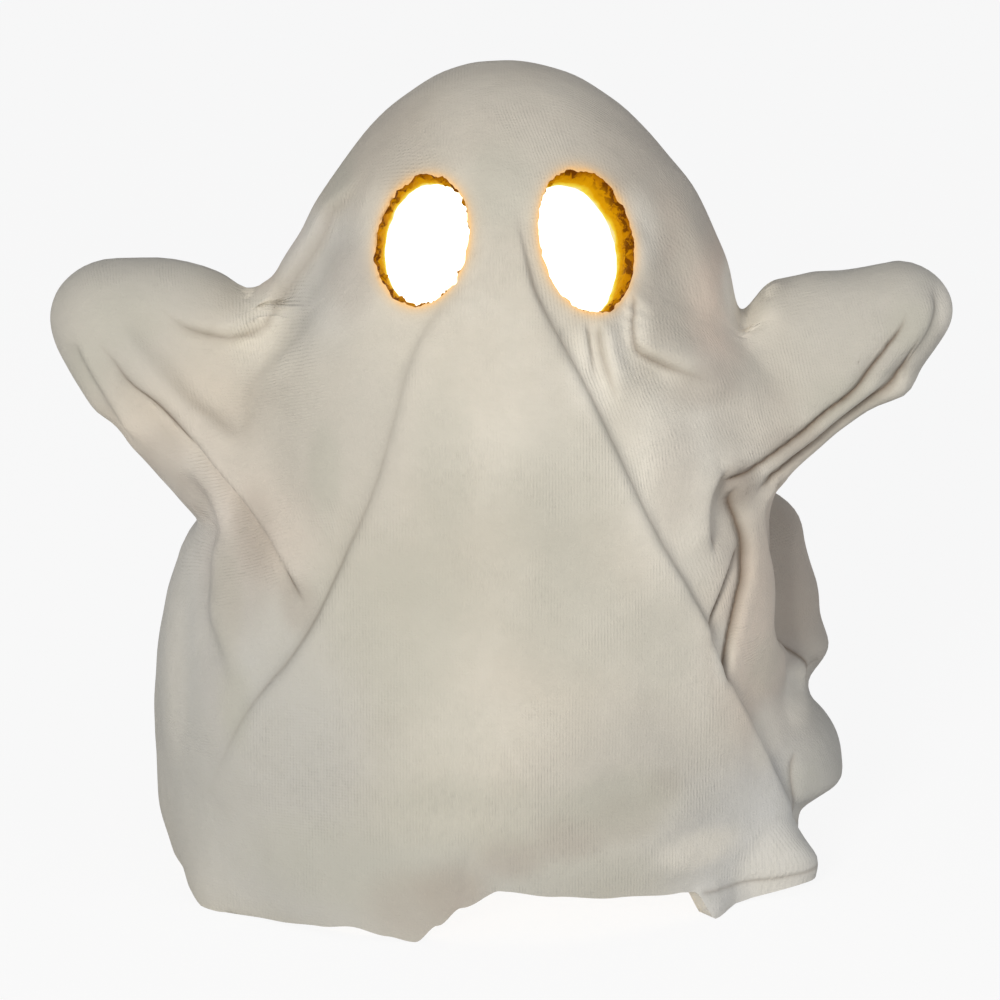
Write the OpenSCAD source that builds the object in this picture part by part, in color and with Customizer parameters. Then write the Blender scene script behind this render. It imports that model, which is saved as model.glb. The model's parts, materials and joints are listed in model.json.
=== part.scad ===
// A hollow ceramic ghost lantern: draped cloth dipped in clay, with two raised arms and two eye holes.
// It stands over a battery tea light, which is modelled down to its cell, switch and leads.
// The origin is the middle of the tea light's base, on the table. The face looks along -Y.

/* [Ghost] */
// Distance between the tips of the two arms
arm_span = 200; // [160:1:260]
// Height of the top of the head above the table
ghost_h = 181; // [150:1:230]
// Width of the round crown of the head
crown_w = 72; // [60:1:84]
// Width of the head at the level of the eyes
head_w = 92.5; // [80:0.5:104]
// Depth of the head from face to nape
head_d = 84; // [74:1:96]
// Width of the chest just under the arms
chest_w = 114; // [100:1:128]
// Width of the skirt without its side folds
skirt_w = 134; // [118:1:150]
// Depth of the skirt from front to back
skirt_d = 118; // [104:1:134]
// Thickness of an arm near its tip
arm_d = 28.4; // [22:0.2:34]
// Thickness of the ceramic wall in the head
head_wall = 6.5; // [4:0.5:8]
// Thickness of the ceramic wall at the hem
hem_wall = 3.2; // [2:0.2:5]
// Height to which the front hem is lifted off the table
hem_lift = 11.5; // [4:0.5:16]

/* [Folds] */
// Height of the folds of the drape
fold_h = 2; // [0:0.1:3]
// Reach of a fold to either side of its crease
fold_w = 10; // [6:0.5:14]
// Width of the crease line itself
crease_w = 2; // [1:0.1:4]
// Height of the wide flutes on the back of the skirt
flute_h = 1.9; // [0:0.1:3]

/* [Eyes] */
// Width of an eye hole
eye_w = 19.2; // [12:0.2:24]
// Height of an eye hole
eye_h = 27.6; // [18:0.2:34]
// Distance between the middles of the two eye holes
eye_pitch = 34.8; // [28:0.2:44]
// Height of the eye holes' middles above the table
eye_z = 148; // [138:1:156]
// Lean of each eye hole towards the nose, in degrees
eye_lean = 8; // [0:1:15]
// How far the inner end of an eye hole lies below its outer end
eye_drop = 4.4; // [0:0.2:6]
// How far the inner end of an eye hole lies nearer the middle
eye_draw = 3; // [0:0.2:5]

/* [Tea light cup] */
// Diameter of the tea light
cup_d = 37.5; // [35:0.5:44]
// Height of the tea light's cup
cup_h = 20; // [18:0.5:26]
// Wall thickness of the cup
cup_wall = 1.2; // [0.8:0.1:1.6]
// Depth of the dished top that looks like melted wax
dish_depth = 2.4; // [1:0.2:3]
// Diameter of the dished top
dish_d = 30; // [26:0.5:31]
// Diameter of the two screw bosses inside the cup
boss_d = 4; // [3.6:0.1:4.2]

/* [Flame and lamp] */
// Greatest width of the flame lens
flame_d = 12; // [10:0.5:14]
// Height of the flame lens above the dish
flame_h = 24; // [16:1:32]
// Wall thickness of the flame lens
flame_wall = 0.9; // [0.6:0.1:1.2]
// Diameter of the lamp's round body
led_d = 5; // [3:0.5:5]
// Length of the lamp's round body with its dome
led_h = 8.6; // [6:0.2:8.6]

/* [Base and battery] */
// Thickness of the base plate
base_t = 1.6; // [1.2:0.1:2]
// Diameter of the coin cell
cell_d = 20; // [19:0.2:20.4]
// Thickness of the coin cell
cell_t = 3.2; // [2.5:0.1:3.2]
// Wall thickness of the battery well
well_wall = 1.2; // [0.8:0.1:1.4]
// Thickness of the battery door's rim
door_t = 1.2; // [0.8:0.1:1.2]
// Width of the coin slot in the battery door
coin_slot_w = 1.8; // [1.2:0.1:2.4]
// Travel of the switch
switch_travel = 2; // [1:0.1:2.4]
// Length of the switch housing
switch_l = 8; // [7:0.2:9]
// Width of the switch housing
switch_w = 3.6; // [3.2:0.1:3.8]
// Height of the switch housing
switch_h = 3.4; // [3:0.1:5]
// Diameter of the screws' threads
screw_d = 1.7; // [1.4:0.1:2]
// Length of the screws
screw_l = 7; // [4:0.5:9]

/* [Electronics] */
// Length of the circuit board
board_l = 18; // [14:0.5:20]
// Width of the circuit board
board_w = 12; // [8:0.5:14]
// Thickness of the circuit board
board_t = 1.2; // [0.8:0.1:1.6]
// Thickness of the contact springs
contact_t = 0.3; // [0.2:0.05:0.4]
// Width of the contact springs
contact_w = 4; // [3:0.2:5]
// Diameter of the insulated leads
lead_d = 1; // [0.8:0.1:1.2]

/* [Hidden] */

// Counts of the ghost's grid: columns around, rows from the crown to the hem
COLS = 96;
ROWS = 40;
// Grid cells from the middle of an eye hole to its edge, across and down
EYE_CELLS = [4, 4];
// Grid places of the eye holes' middles: columns from the front, and the row
EYE_COL = 8;
EYE_ROW = 10;
// Share of the rows that fans over the head, above the level of the arms
fan_share = 0.42;
STEPS = 13;
ROUND = 48;

clear_gap = 0.1;
cut_over = 0.5;

half_span = arm_span / 2;
crown_r = crown_w / 2;
head_r = head_w / 2;
chest_r = chest_w / 2;
skirt_r = skirt_w / 2;
arm_r = arm_d / 2;
head_flat = head_d / head_w;
skirt_flat = skirt_d / skirt_w;

// Wide and tight roundings where the parts of the form run together
blend_wide = 16;
blend_body = 8;
blend_arm = 9;
blend_lobe = 5;

// A place given in shares of half the span, half the skirt's depth and the height
function place(s) = [s.x * half_span, s.y * skirt_d / 2, s.z * ghost_h];
function total(v) = v * [for (k = v) 1];

crown_at = [0.012 * half_span, 0, ghost_h - crown_r];
head_at = place([0.018, 0, 0.713]);
chest_at = place([0.01, 0, 0.564]);
skirt_at = place([-0.015, 0.02, 0.088]);
left_tip_at = [-half_span + arm_r, 0, 0.676 * ghost_h];
left_arm_at = place([-0.62, 0, 0.657]);
right_arm_r = 0.87 * arm_r;
right_tip_at = [half_span - right_arm_r, 0, 0.688 * ghost_h];
right_arm_at = place([0.66, 0, 0.653]);
left_web_tip_at = place([-0.82, -0.05, 0.605]);
left_web_at = place([-0.56, -0.08, 0.514]);
left_web_tip_r = 0.6 * arm_r;
left_web_r = 1.21 * arm_r;
right_web_tip_at = place([0.865, -0.03, 0.651]);
right_web_at = place([0.565, -0.07, 0.569]);
right_web_tip_r = 0.35 * arm_r;
right_web_r = arm_r;

// Rounded lobes of cloth: their middles and half sizes, as shares
left_flank_shares = [[-0.42, 0.034, 0.188], [0.36, 0.8, 0.365]];
back_lobe_shares = [[0.4, 0.46, 0.271], [0.355, 0.44, 0.182]];
low_lobe_shares = [[0.5, 0.1, 0.124], [0.273, 0.51, 0.099]];

// The rays that find the surface start on a spine at this height that runs out along the arms
spine_x = 0.62 * half_span;
spine_z = 0.663 * ghost_h;
spine_end_z = 0.42 * ghost_h;
reach = 0.95 * half_span;

// The wall thins from the head down to the hem over this height
wall_full_z = 0.7 * ghost_h;

// Height of the hem above the table as a share of its lift, by degrees from the front
hem_lift_shares = [[-180, 0], [-150, 0.13], [-120, 0.26], [-90, 0.3], [-75, 0.35], [-68, 0.17],
    [-62, 0], [-50, 0.04], [-40, 0.13], [-32, 0.22], [-24, 0.09], [-18, 0], [-13, 0.35], [-8, 0.7],
    [0, 1], [12, 0.87], [25, 0.74], [40, 0.6], [44, 0.55], [50, 0], [57, 0.17], [63, 0.3],
    [67, 0.55], [75, 0.6], [95, 0.7], [110, 0.52], [130, 0.17], [150, 0], [180, 0]];

// Corners of the hem that stand out: degrees, reach in degrees, push and height as shares of the fold
corner_shares = [[-63, 8, 2.75, 2.6], [-18, 13, 1.1, 3.4], [68, 7, 2.25, 3], [49, 6, 0.5, 1.6]];

// Creases of the drape, seen from the front: points as shares of half the span and of the height
panel_left_shares = [[-0.055, 0.79], [-0.14, 0.73], [-0.21, 0.64], [-0.27, 0.52], [-0.38, 0.38],
    [-0.5, 0.285], [-0.56, 0.23], [-0.625, 0.16], [-0.66, 0.11]];
panel_right_shares = [[0.025, 0.865], [0.07, 0.765], [0.115, 0.715], [0.175, 0.66], [0.335, 0.47],
    [0.49, 0.29], [0.605, 0.145], [0.66, 0.075], [0.71, 0]];
left_arm_fold_shares = [[-0.89, 0.675], [-0.8, 0.61], [-0.68, 0.54], [-0.6, 0.5], [-0.48, 0.435],
    [-0.415, 0.38]];
left_arm_crest_shares = [[-0.83, 0.7], [-0.73, 0.625], [-0.64, 0.56], [-0.56, 0.54]];
left_underarm_shares = [[-0.71, 0.51], [-0.65, 0.47], [-0.62, 0.445], [-0.63, 0.39], [-0.61, 0.325],
    [-0.585, 0.26]];
left_shoulder_shares = [[-0.75, 0.705], [-0.68, 0.68], [-0.59, 0.675], [-0.5, 0.7], [-0.43, 0.765],
    [-0.365, 0.825], [-0.27, 0.89]];
right_arm_fold_shares = [[0.885, 0.705], [0.835, 0.66], [0.76, 0.6], [0.665, 0.55], [0.555, 0.52],
    [0.48, 0.52]];
right_arm_low_shares = [[0.925, 0.685], [0.88, 0.63], [0.8, 0.575], [0.7, 0.53], [0.6, 0.495],
    [0.545, 0.495]];
armpit_shares = [[0.48, 0.53], [0.46, 0.51], [0.455, 0.47], [0.465, 0.435]];
pleat_shares = [[0.505, 0.51], [0.515, 0.465], [0.53, 0.415], [0.52, 0.365], [0.49, 0.285]];
column_shares = [[0.62, 0.475], [0.585, 0.455], [0.585, 0.42], [0.605, 0.36], [0.605, 0.31],
    [0.645, 0.245], [0.725, 0.17]];
cheek_shares = [[0.28, 0.755], [0.285, 0.73], [0.29, 0.69], [0.34, 0.67], [0.46, 0.635]];
head_fold_shares = [[0.33, 0.875], [0.375, 0.81], [0.4, 0.76], [0.48, 0.69]];
lap_shares = [[0.41, 0.2], [0.36, 0.155], [0.27, 0.13], [0.15, 0.115], [0, 0.115]];

// Each crease with its profile: the points, the rise and reach on the right, the rise and reach on
// the left, the sharpness, the depth of the crease line, and the shares over which its ends fade
crease_shares = [
    [panel_left_shares, 0.95, 2, -0.5, 0.9, 0.5, 0.25, 0.12, 0.35],
    [panel_right_shares, -0.5, 0.9, 0.95, 2, 0.5, 0.25, 0.12, 0.01],
    [left_arm_fold_shares, 0.8, 1.1, -0.95, 1, 0.5, 0.3, 0.12, 0.12],
    [left_arm_crest_shares, -0.55, 1.3, 0.35, 0.9, 0.8, 0, 0.25, 0.15],
    [left_underarm_shares, 0.45, 0.9, -0.45, 0.9, 0.5, 0.45, 0.12, 0.25],
    [left_shoulder_shares, 0.65, 1.3, -0.55, 0.9, 0.5, 0.3, 0.2, 0.3],
    [right_arm_fold_shares, 0.55, 1, -1, 0.9, 0.5, 0.45, 0.2, 0.05],
    [right_arm_low_shares, 0.4, 0.6, -0.4, 0.5, 0.5, 0.25, 0.2, 0.1],
    [armpit_shares, -0.8, 0.9, 0.35, 0.9, 0.5, 0.35, 0.1, 0.3],
    [pleat_shares, 0.45, 0.8, -0.3, 0.6, 0.5, 0.9, 0.1, 0.01],
    [column_shares, -0.9, 0.8, 0.6, 0.9, 0.5, 0.5, 0.01, 0.15],
    [cheek_shares, 0.35, 0.9, -0.25, 0.7, 0.5, 0.3, 0.1, 0.5],
    [head_fold_shares, 0.45, 1.3, -0.25, 1.2, 1, 0.45, 0.25, 0.3],
    [lap_shares, 0.3, 1.6, -0.3, 1.6, 2, 0.45, 0.35, 0.4]];

function share01(x) = min(1, max(0, x));
function ease(x) = let (c = share01(x)) c * c * (3 - 2 * c);
function mix(a, b, f) = a + (b - a) * f;

// Two distances joined with a rounding of size k
function join(a, b, k) = let (h = share01(0.5 + (b - a) / k / 2)) mix(b, a, h) - k * h * (1 - h);

// Distance to a rod whose radius changes from ra to rb, flattened front to back
function rod(p, a, b, ra, rb, flat = 1) =
    let (q = [p.x, p.y / flat, p.z], along = b - a, t = share01((q - a) * along / (along * along)))
    norm(q - a - t * along) - mix(ra, rb, t);

// Distance to an egg shape with its middle at c and the half sizes r
function egg(p, c, r) =
    (norm([(p.x - c.x) / r.x, (p.y - c.y) / r.y, (p.z - c.z) / r.z]) - 1) * min(r);

function lobe(p, s) = egg(p, place(s[0]), place(s[1]));

// Distance to the whole smooth form of the ghost, below zero inside it
function form(p) =
    let (head = join(rod(p, crown_at, head_at, crown_r, head_r, head_flat),
                     rod(p, head_at, chest_at, head_r, chest_r, head_flat), blend_lobe),
         trunk = join(head, rod(p, chest_at, skirt_at, chest_r, skirt_r, skirt_flat), blend_body),
         left_web = rod(p, left_web_tip_at, left_web_at, left_web_tip_r, left_web_r),
         right_web = rod(p, right_web_tip_at, right_web_at, right_web_tip_r, right_web_r),
         webbed = join(join(trunk, left_web, blend_wide), right_web, blend_wide),
         left_arm = rod(p, left_arm_at, left_tip_at, arm_r, arm_r),
         right_arm = rod(p, right_arm_at, right_tip_at, right_arm_r, right_arm_r),
         armed = join(join(webbed, left_arm, blend_arm), right_arm, blend_arm),
         flanked = join(armed, lobe(p, left_flank_shares), blend_body),
         backed = join(flanked, lobe(p, back_lobe_shares), blend_lobe))
    join(backed, lobe(p, low_lobe_shares), blend_lobe);

grad_step = hem_wall / 10;
function slope(p) =
    let (dx = [grad_step, 0, 0], dy = [0, grad_step, 0], dz = [0, 0, grad_step],
         g = [form(p + dx) - form(p - dx), form(p + dy) - form(p - dy), form(p + dz) - form(p - dz)])
    g / norm(g);

function wall_at(z) = mix(hem_wall, head_wall, ease(z / wall_full_z));

// The point between near and far along a ray where the form, thinned by the wall, ends
function seek(o, d, near, far, thin, n) =
    n == 0 ? o + d * (near + far) / 2
    : let (m = (near + far) / 2, q = o + d * m)
      form(q) + thin * wall_at(q.z) < 0 ? seek(o, d, m, far, thin, n - 1)
      : seek(o, d, near, m, thin, n - 1);

// Height of the hem at an angle from the front
function hem_z(angle) =
    let (a = (angle + 540) % 360 - 180,
         k = max([for (i = [0 : len(hem_lift_shares) - 2]) if (hem_lift_shares[i][0] <= a) i]),
         low = hem_lift_shares[k], high = hem_lift_shares[k + 1])
    hem_lift * mix(low[1], high[1], ease((a - low[0]) / (high[0] - low[0])));

// Start and direction of the ray for a grid place: columns from the front and rows from the crown
function ray_angle(row) = row / ROWS <= fan_share ? 90 * row / ROWS / fan_share : 90;
function ray_dir(col, row) =
    let (a = 360 * col / COLS, e = ray_angle(row)) [sin(e) * sin(a), -sin(e) * cos(a), cos(e)];
function ray_start(col, row) =
    let (d = ray_dir(col, row), t = row / ROWS, down = (t - fan_share) / (1 - fan_share),
         z = t <= fan_share ? spine_z : mix(spine_z, hem_z(360 * col / COLS), down),
         out = ease((z - spine_end_z) / (spine_z - spine_end_z)))
    [spine_x * d.x * abs(d.x) * out, 0, z];

// Grid place relative to an eye hole: 1 on the square ring of cells that becomes the hole's edge
function eye_side(col) = col > COLS / 2 ? -1 : 1;
function eye_cells(col, row) =
    let (c = col > COLS / 2 ? col - COLS : col, s = eye_side(col))
    [(c - s * EYE_COL) / EYE_CELLS.x, (EYE_ROW - row) / EYE_CELLS.y];
eye_ease_share = 1.75;

// Place of a grid ring round an eye hole, seen from the front; thin is 1 on the inner surface
function eye_spot(cells, side, thin) =
    let (q = max(abs(cells.x), abs(cells.y)), a = atan2(cells.y, cells.x),
         x = q * eye_w / 2 * cos(a), z = q * eye_h / 2 * sin(a), lean = side * eye_lean)
    [side * (eye_pitch / 2 - thin * eye_draw) + x * cos(lean) - z * sin(lean),
     eye_z - thin * eye_drop + x * sin(lean) + z * cos(lean)];

// Point of the smooth surface at a grid place
function smooth_point(col, row, thin) =
    let (p = seek(ray_start(col, row), ray_dir(col, row), 0, reach, thin, STEPS),
         cells = eye_cells(col, row), q = max(abs(cells.x), abs(cells.y)))
    q >= eye_ease_share ? p
    : let (spot = eye_spot(cells, eye_side(col), thin),
           f = ease((eye_ease_share - q) / (eye_ease_share - 1)),
           at = [mix(p.x, spot.x, f), mix(p.z, spot.y, f)])
      seek([at.x, 0, at.y], [0, -1, 0], 0, skirt_r, thin, STEPS);

// Nearest part of one leg of a crease: distance, side, and how far along the leg
function leg(q, a, b) =
    let (e = b - a, t = share01((q - a) * e / (e * e)), w = q - a - t * e,
         turn = e.x * (q.y - a.y) - e.y * (q.x - a.x))
    [norm(w), sign(turn), t];

// Rise of the surface that one crease gives at a place seen from the front
function crease_rise(q, c) =
    let (pts = [for (s = c[0]) [s.x * half_span, s.y * ghost_h]],
         legs = [for (i = [0 : len(pts) - 2]) leg(q, pts[i], pts[i + 1])],
         near = min([for (l = legs) l[0]]))
    near > 2 * fold_w ? 0
    : let (i = [for (i = [0 : len(legs) - 1]) if (legs[i][0] == near) i][0],
           along = (i + legs[i][2]) / len(legs), s = near * legs[i][1], soft = c[5] * crease_w,
           right_side = (1 + s / norm([s, soft])) / 2,
           right_rise = c[1] * (1 - ease(near / c[2] / fold_w)),
           left_rise = c[3] * (1 - ease(near / c[4] / fold_w)),
           line = c[6] * pow(share01(1 - near / crease_w), 2),
           fade = ease(along / c[7]) * ease((1 - along) / c[8]))
      fold_h * fade * (mix(left_rise, right_rise, right_side) - line);

// Rise of the wide flutes down the back
function flute_rise(p, n, angle) =
    share01(2 * n.y) * ease((0.69 - p.z / ghost_h) / 0.6) * flute_h
    * (cos(7 * angle + 46) + cos(12 * angle + 115) / 2);

function corner_rise(p, angle) =
    fold_h * total([for (c = corner_shares)
        let (a = (angle - c[0] + 540) % 360 - 180)
        c[2] * exp(-pow(a / c[1], 2)) * ease(1 - p.z / (c[3] * fold_w))]);

function rise(p, n, angle) =
    let (facing = share01((0.12 - n.y) * 4), q = [p.x, p.z],
         creases = facing == 0 ? 0 : facing * total([for (c = crease_shares) crease_rise(q, c)]))
    max(creases + flute_rise(p, n, angle) + corner_rise(p, angle), -wall_at(p.z) / 2);

// Points of the outer surface, row by row, each with its direction and rise
function skin_point(col, row) =
    let (p = smooth_point(col, row, 0), n = slope(p), r = rise(p, n, 360 * col / COLS), w = p + n * r)
    [row == ROWS ? [w.x, w.y, hem_z(360 * col / COLS)] : [w.x, w.y, max(w.z, 0)], n, r];

// Point of the inner surface behind an outer one: it follows hollows, and fills half of each ridge
function lining_point(col, row, skin) =
    let (p = smooth_point(col, row, 1), r = skin[2] < 0 ? skin[2] : skin[2] / 2, w = p + skin[1] * r)
    row == ROWS ? [w.x, w.y, skin[0].z] : [w.x, w.y, max(w.z, 0)];

function in_hole(col, row, step) =
    let (a = eye_cells((col + step / 2) % COLS, row + step / 2)) abs(a.x) < 1 && abs(a.y) < 1;

// Grid places round an eye hole, one every step cells, clockwise seen from the front
function hole_ring(side, step) =
    let (c = side * EYE_COL, w = EYE_CELLS.x, h = EYE_CELLS.y)
    [each [for (k = [-w : step : w - step]) [c + k, EYE_ROW - h]],
     each [for (k = [-h : step : h - step]) [c + w, EYE_ROW + k]],
     each [for (k = [w : -step : step - w]) [c + k, EYE_ROW + h]],
     each [for (k = [h : -step : step - h]) [c - w, EYE_ROW + k]]];

function outer_id(col, row) = row == 0 ? 0 : 1 + (row - 1) * COLS + (col + COLS) % COLS;
inner_first = 1 + ROWS * COLS;
function inner_id(col, row) =
    row == 0 ? inner_first : inner_first + 1 + (row / 2 - 1) * COLS / 2 + ((col + COLS) % COLS) / 2;

// Two triangles over a grid cell, clockwise from a, split along its shorter diagonal
function split(a, b, c, d, pts) =
    norm(pts[a] - pts[c]) < norm(pts[b] - pts[d]) ? [[a, b, c], [a, c, d]] : [[a, b, d], [b, c, d]];

// Three triangles between two steps of the outer ring and one of the inner ring
function stitch(a, b, c, inner_a, inner_c) = [[a, b, inner_a], [b, c, inner_c], [b, inner_c, inner_a]];

module ghost_shell() {
    skin = [for (row = [0 : ROWS]) [for (col = [0 : row == 0 ? 0 : COLS - 1]) skin_point(col, row)]];
    outer = [for (r = skin) each [for (s = r) s[0]]];
    inner = [for (row = [0 : 2 : ROWS]) each [for (col = [0 : 2 : row == 0 ? 0 : COLS - 2])
        lining_point(col, row, skin[row][col])]];
    points = concat(outer, inner);
    cap = [for (c = [0 : COLS - 1]) [outer_id(0, 0), outer_id(c + 1, 1), outer_id(c, 1)]];
    lining_cap = [for (c = [0 : 2 : COLS - 2]) [inner_id(0, 0), inner_id(c, 2), inner_id(c + 2, 2)]];
    side = [for (row = [1 : ROWS - 1]) each [for (c = [0 : COLS - 1]) if (!in_hole(c, row, 1))
        each split(outer_id(c, row), outer_id(c + 1, row), outer_id(c + 1, row + 1), outer_id(c, row + 1),
                   points)]];
    lining = [for (row = [2 : 2 : ROWS - 2]) each [for (c = [0 : 2 : COLS - 2]) if (!in_hole(c, row, 2))
        each split(inner_id(c, row), inner_id(c, row + 2), inner_id(c + 2, row + 2), inner_id(c + 2, row),
                   points)]];
    hem = [for (c = [0 : 2 : COLS - 2]) each stitch(outer_id(c, ROWS), outer_id(c + 1, ROWS),
        outer_id(c + 2, ROWS), inner_id(c, ROWS), inner_id(c + 2, ROWS))];
    rims = [for (s = [-1, 1]) let (ring = hole_ring(s, 1), n = len(ring))
        each [for (k = [0 : 2 : n - 2]) let (a = ring[k], b = ring[k + 1], c = ring[(k + 2) % n])
            each stitch(outer_id(a.x, a.y), outer_id(b.x, b.y), outer_id(c.x, c.y),
                        inner_id(a.x, a.y), inner_id(c.x, c.y))]];
    color([0.8, 0.77, 0.71])
    polyhedron(points = points, faces = concat(cap, lining_cap, side, lining, hem, rims), convexity = 10);
}

// The tea light: heights of its pieces, from the table up
cup_r = cup_d / 2;
plate_r = cup_r - cup_wall - clear_gap;
dish_z = cup_h - dish_depth;
dish_under_z = dish_z - cup_wall;
dish_r = dish_d / 2;

// The battery door turns under the plate's hole; its two lugs pass notches and lock above the plate
well_r = cell_d / 2 + 0.7 * contact_t + 4 * clear_gap;
well_out_r = well_r + well_wall;
door_r = well_r + 3 * clear_gap;
door_hole_r = door_r + 2 * clear_gap;
door_z = 3 * clear_gap;
door_boss_r = well_r - 2 * clear_gap;
lug_z = base_t + clear_gap;
lug_h = 0.75 * door_t;
lug_r = well_out_r + 6 * clear_gap;
lug_angle = 20;
door_turn = 30;
notch_angle = 2;
track_angle = 3;
cell_z = lug_z + lug_h + clear_gap;
cell_top = cell_z + cell_t;
roof_z = cell_top + 1.1 * well_wall;
roof_top = roof_z + 0.8 * well_wall;

// A wedge of a disc, from one angle over a sweep of less than half a turn
module wedge(r, from, sweep, z, h) {
    far = r / cos(sweep / 2);
    translate([0, 0, z])
    intersection() {
        cylinder(r = r, h = h, $fn = ROUND);
        rotate(from)
        linear_extrude(h)
        polygon([[0, 0], [far, 0], far * [cos(sweep / 2), sin(sweep / 2)] / cos(sweep / 2),
                 far * [cos(sweep), sin(sweep)]]);
    }
}

// A block with one corner at a point
module block(from, size) {
    translate(from) cube(size);
}

boss_r = boss_d / 2;
boss_y = plate_r - boss_r - clear_gap;
boss_top = dish_under_z + 0.5 * cup_wall;
boss_bore_d = screw_d + clear_gap;
flame_neck_r = flame_d / 2;
flame_hole_r = flame_neck_r + clear_gap;

module candle_cup() {
    rim_r = cup_wall / 2;
    color([0.93, 0.9, 0.84]) {
        difference() {
            rotate_extrude($fn = 2 * ROUND)
            difference() {
                union() {
                    square([cup_r, cup_h - rim_r]);
                    square([cup_r - rim_r, cup_h]);
                    translate([cup_r - rim_r, cup_h - rim_r]) circle(r = rim_r, $fn = ROUND);
                }
                translate([0, -cut_over]) square([cup_r - cup_wall, dish_under_z + cut_over]);
                polygon([[0, dish_z], [flame_hole_r + cup_wall, dish_z],
                         [0.7 * dish_r, dish_z + 0.2 * dish_depth],
                         [0.9 * dish_r, dish_z + 0.6 * dish_depth],
                         [dish_r, cup_h + cut_over], [0, cup_h + cut_over]]);
            }
            translate([0, 0, dish_under_z - cut_over])
            cylinder(r = flame_hole_r, h = cup_h, $fn = ROUND);
        }
        for (side = [-1, 1])
            translate([0, side * boss_y, 0])
            difference() {
                translate([0, 0, base_t + clear_gap])
                cylinder(d = boss_d, h = boss_top - base_t - clear_gap, $fn = ROUND);
                cylinder(d = boss_bore_d, h = screw_l + base_t, $fn = ROUND);
            }
    }
}

flange_r = flame_neck_r + 1.2 * flame_wall;
flame_tip_z = dish_z + flame_h;

// Half outlines of the flame, as shares of its greatest radius and of its height above the dish
flame_outline_shares = [[0.84, 0], [0.94, 0.12], [1, 0.26], [0.97, 0.4], [0.84, 0.55], [0.62, 0.7],
    [0.38, 0.84], [0.18, 0.94], [0, 1]];

module flame_lens() {
    outline = [for (s = flame_outline_shares) [s.x * flame_neck_r, dish_z + s.y * flame_h]];
    hollow = [for (s = flame_outline_shares)
        [max(0, s.x * flame_neck_r - flame_wall), dish_z + s.y * (flame_h - 2.4 * flame_wall)]];
    foot_z = dish_under_z - flame_wall;
    foot_r = flame_outline_shares[0].x * flame_neck_r;
    color([1, 0.86, 0.55])
    rotate_extrude($fn = ROUND)
    difference() {
        union() {
            polygon(concat([[0, foot_z], [foot_r, foot_z]], outline));
            translate([0, foot_z]) square([flange_r, flame_wall]);
        }
        polygon(concat([[0, foot_z - cut_over], [foot_r - flame_wall, foot_z - cut_over]], hollow));
    }
}

// The circuit board stands on two pegs on the battery well's roof, with the lamp above it
board_z = roof_top + 2 * board_t;
board_top = board_z + board_t;
peg_r = board_t;
peg_y = board_w / 2 - 2 * peg_r;
lead_r = lead_d / 2;
led_z = board_top + 1.2 * board_t;
led_r = led_d / 2;
led_rim = 0.4;
led_flange_r = led_r + led_rim;
pin_d = 0.5;
pin_x = 1.27;

module led_lamp() {
    color([0.98, 0.95, 0.8]) {
        translate([0, 0, led_z]) cylinder(r = led_flange_r, h = 2 * pin_d, $fn = ROUND);
        translate([0, 0, led_z]) cylinder(r = led_r, h = led_h - led_r, $fn = ROUND);
        translate([0, 0, led_z + led_h - led_r]) sphere(r = led_r, $fn = ROUND);
    }
    color([0.75, 0.75, 0.77])
    for (side = [-1, 1])
        block([side * pin_x - pin_d / 2, -pin_d / 2, board_top], [pin_d, pin_d, led_z - board_top]);
}

module circuit_board() {
    color([0.16, 0.42, 0.24])
    block([-board_l / 2, -board_w / 2, board_z], [board_l, board_w, board_t]);
}

chip_r = board_w / 5;
chip_x = board_l / 2 - chip_r - 0.4 * board_t;

module driver_chip() {
    dome_h = 0.45 * chip_r;
    dome_r = (chip_r * chip_r + dome_h * dome_h) / dome_h / 2;
    color([0.08, 0.08, 0.09])
    translate([chip_x, 0, board_top])
    intersection() {
        translate([0, 0, dome_h - dome_r]) sphere(r = dome_r, $fn = ROUND);
        cylinder(r = chip_r, h = chip_r, $fn = ROUND);
    }
}

// The switch lies beside the battery door and its knob passes a slot in the base plate
switch_x = lug_r + 6 * clear_gap;
knob_w = 0.45 * switch_w;
knob_l = 0.2 * switch_l;
knob_z = 0.2 * base_t;
slide_w = switch_w - 2 * contact_t - 8 * clear_gap;
slide_l = 0.38 * switch_l;
slide_z = base_t + 2 * clear_gap;
slide_t = 0.35 * switch_h;
knob_x = switch_x + switch_w / 2;
slot_gap = 2 * clear_gap;
slot_l = knob_l + switch_travel + 2 * slot_gap;
bay_l = slide_l + switch_travel + 2 * slot_gap;

// At rest the switch is on, at the end of its travel towards the front
slide_from_y = -bay_l / 2 + slot_gap;
knob_from_y = -slot_l / 2 + slot_gap;

module switch_slider() {
    color([0.12, 0.12, 0.13]) {
        block([knob_x - slide_w / 2, slide_from_y, slide_z], [slide_w, slide_l, slide_t]);
        block([knob_x - knob_w / 2, knob_from_y, knob_z], [knob_w, knob_l, slide_z - knob_z]);
    }
}

module switch_housing() {
    terminal_w = 2 * contact_t;
    bay_w = slide_w + 2 * clear_gap;
    bay_h = slide_z + slide_t + 2 * clear_gap - base_t;
    color([0.78, 0.79, 0.8]) {
        difference() {
            block([switch_x, -switch_l / 2, base_t], [switch_w, switch_l, switch_h]);
            block([knob_x - bay_w / 2, -bay_l / 2, base_t - cut_over], [bay_w, bay_l, bay_h + cut_over]);
        }
        for (side = [-1, 1])
            block([knob_x - terminal_w / 2, side * terminal_y - terminal_w / 2, base_t + switch_h],
                  [terminal_w, terminal_w, terminal_h]);
    }
}

terminal_y = switch_l / 4;
terminal_h = 1.6 * board_t;

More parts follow.
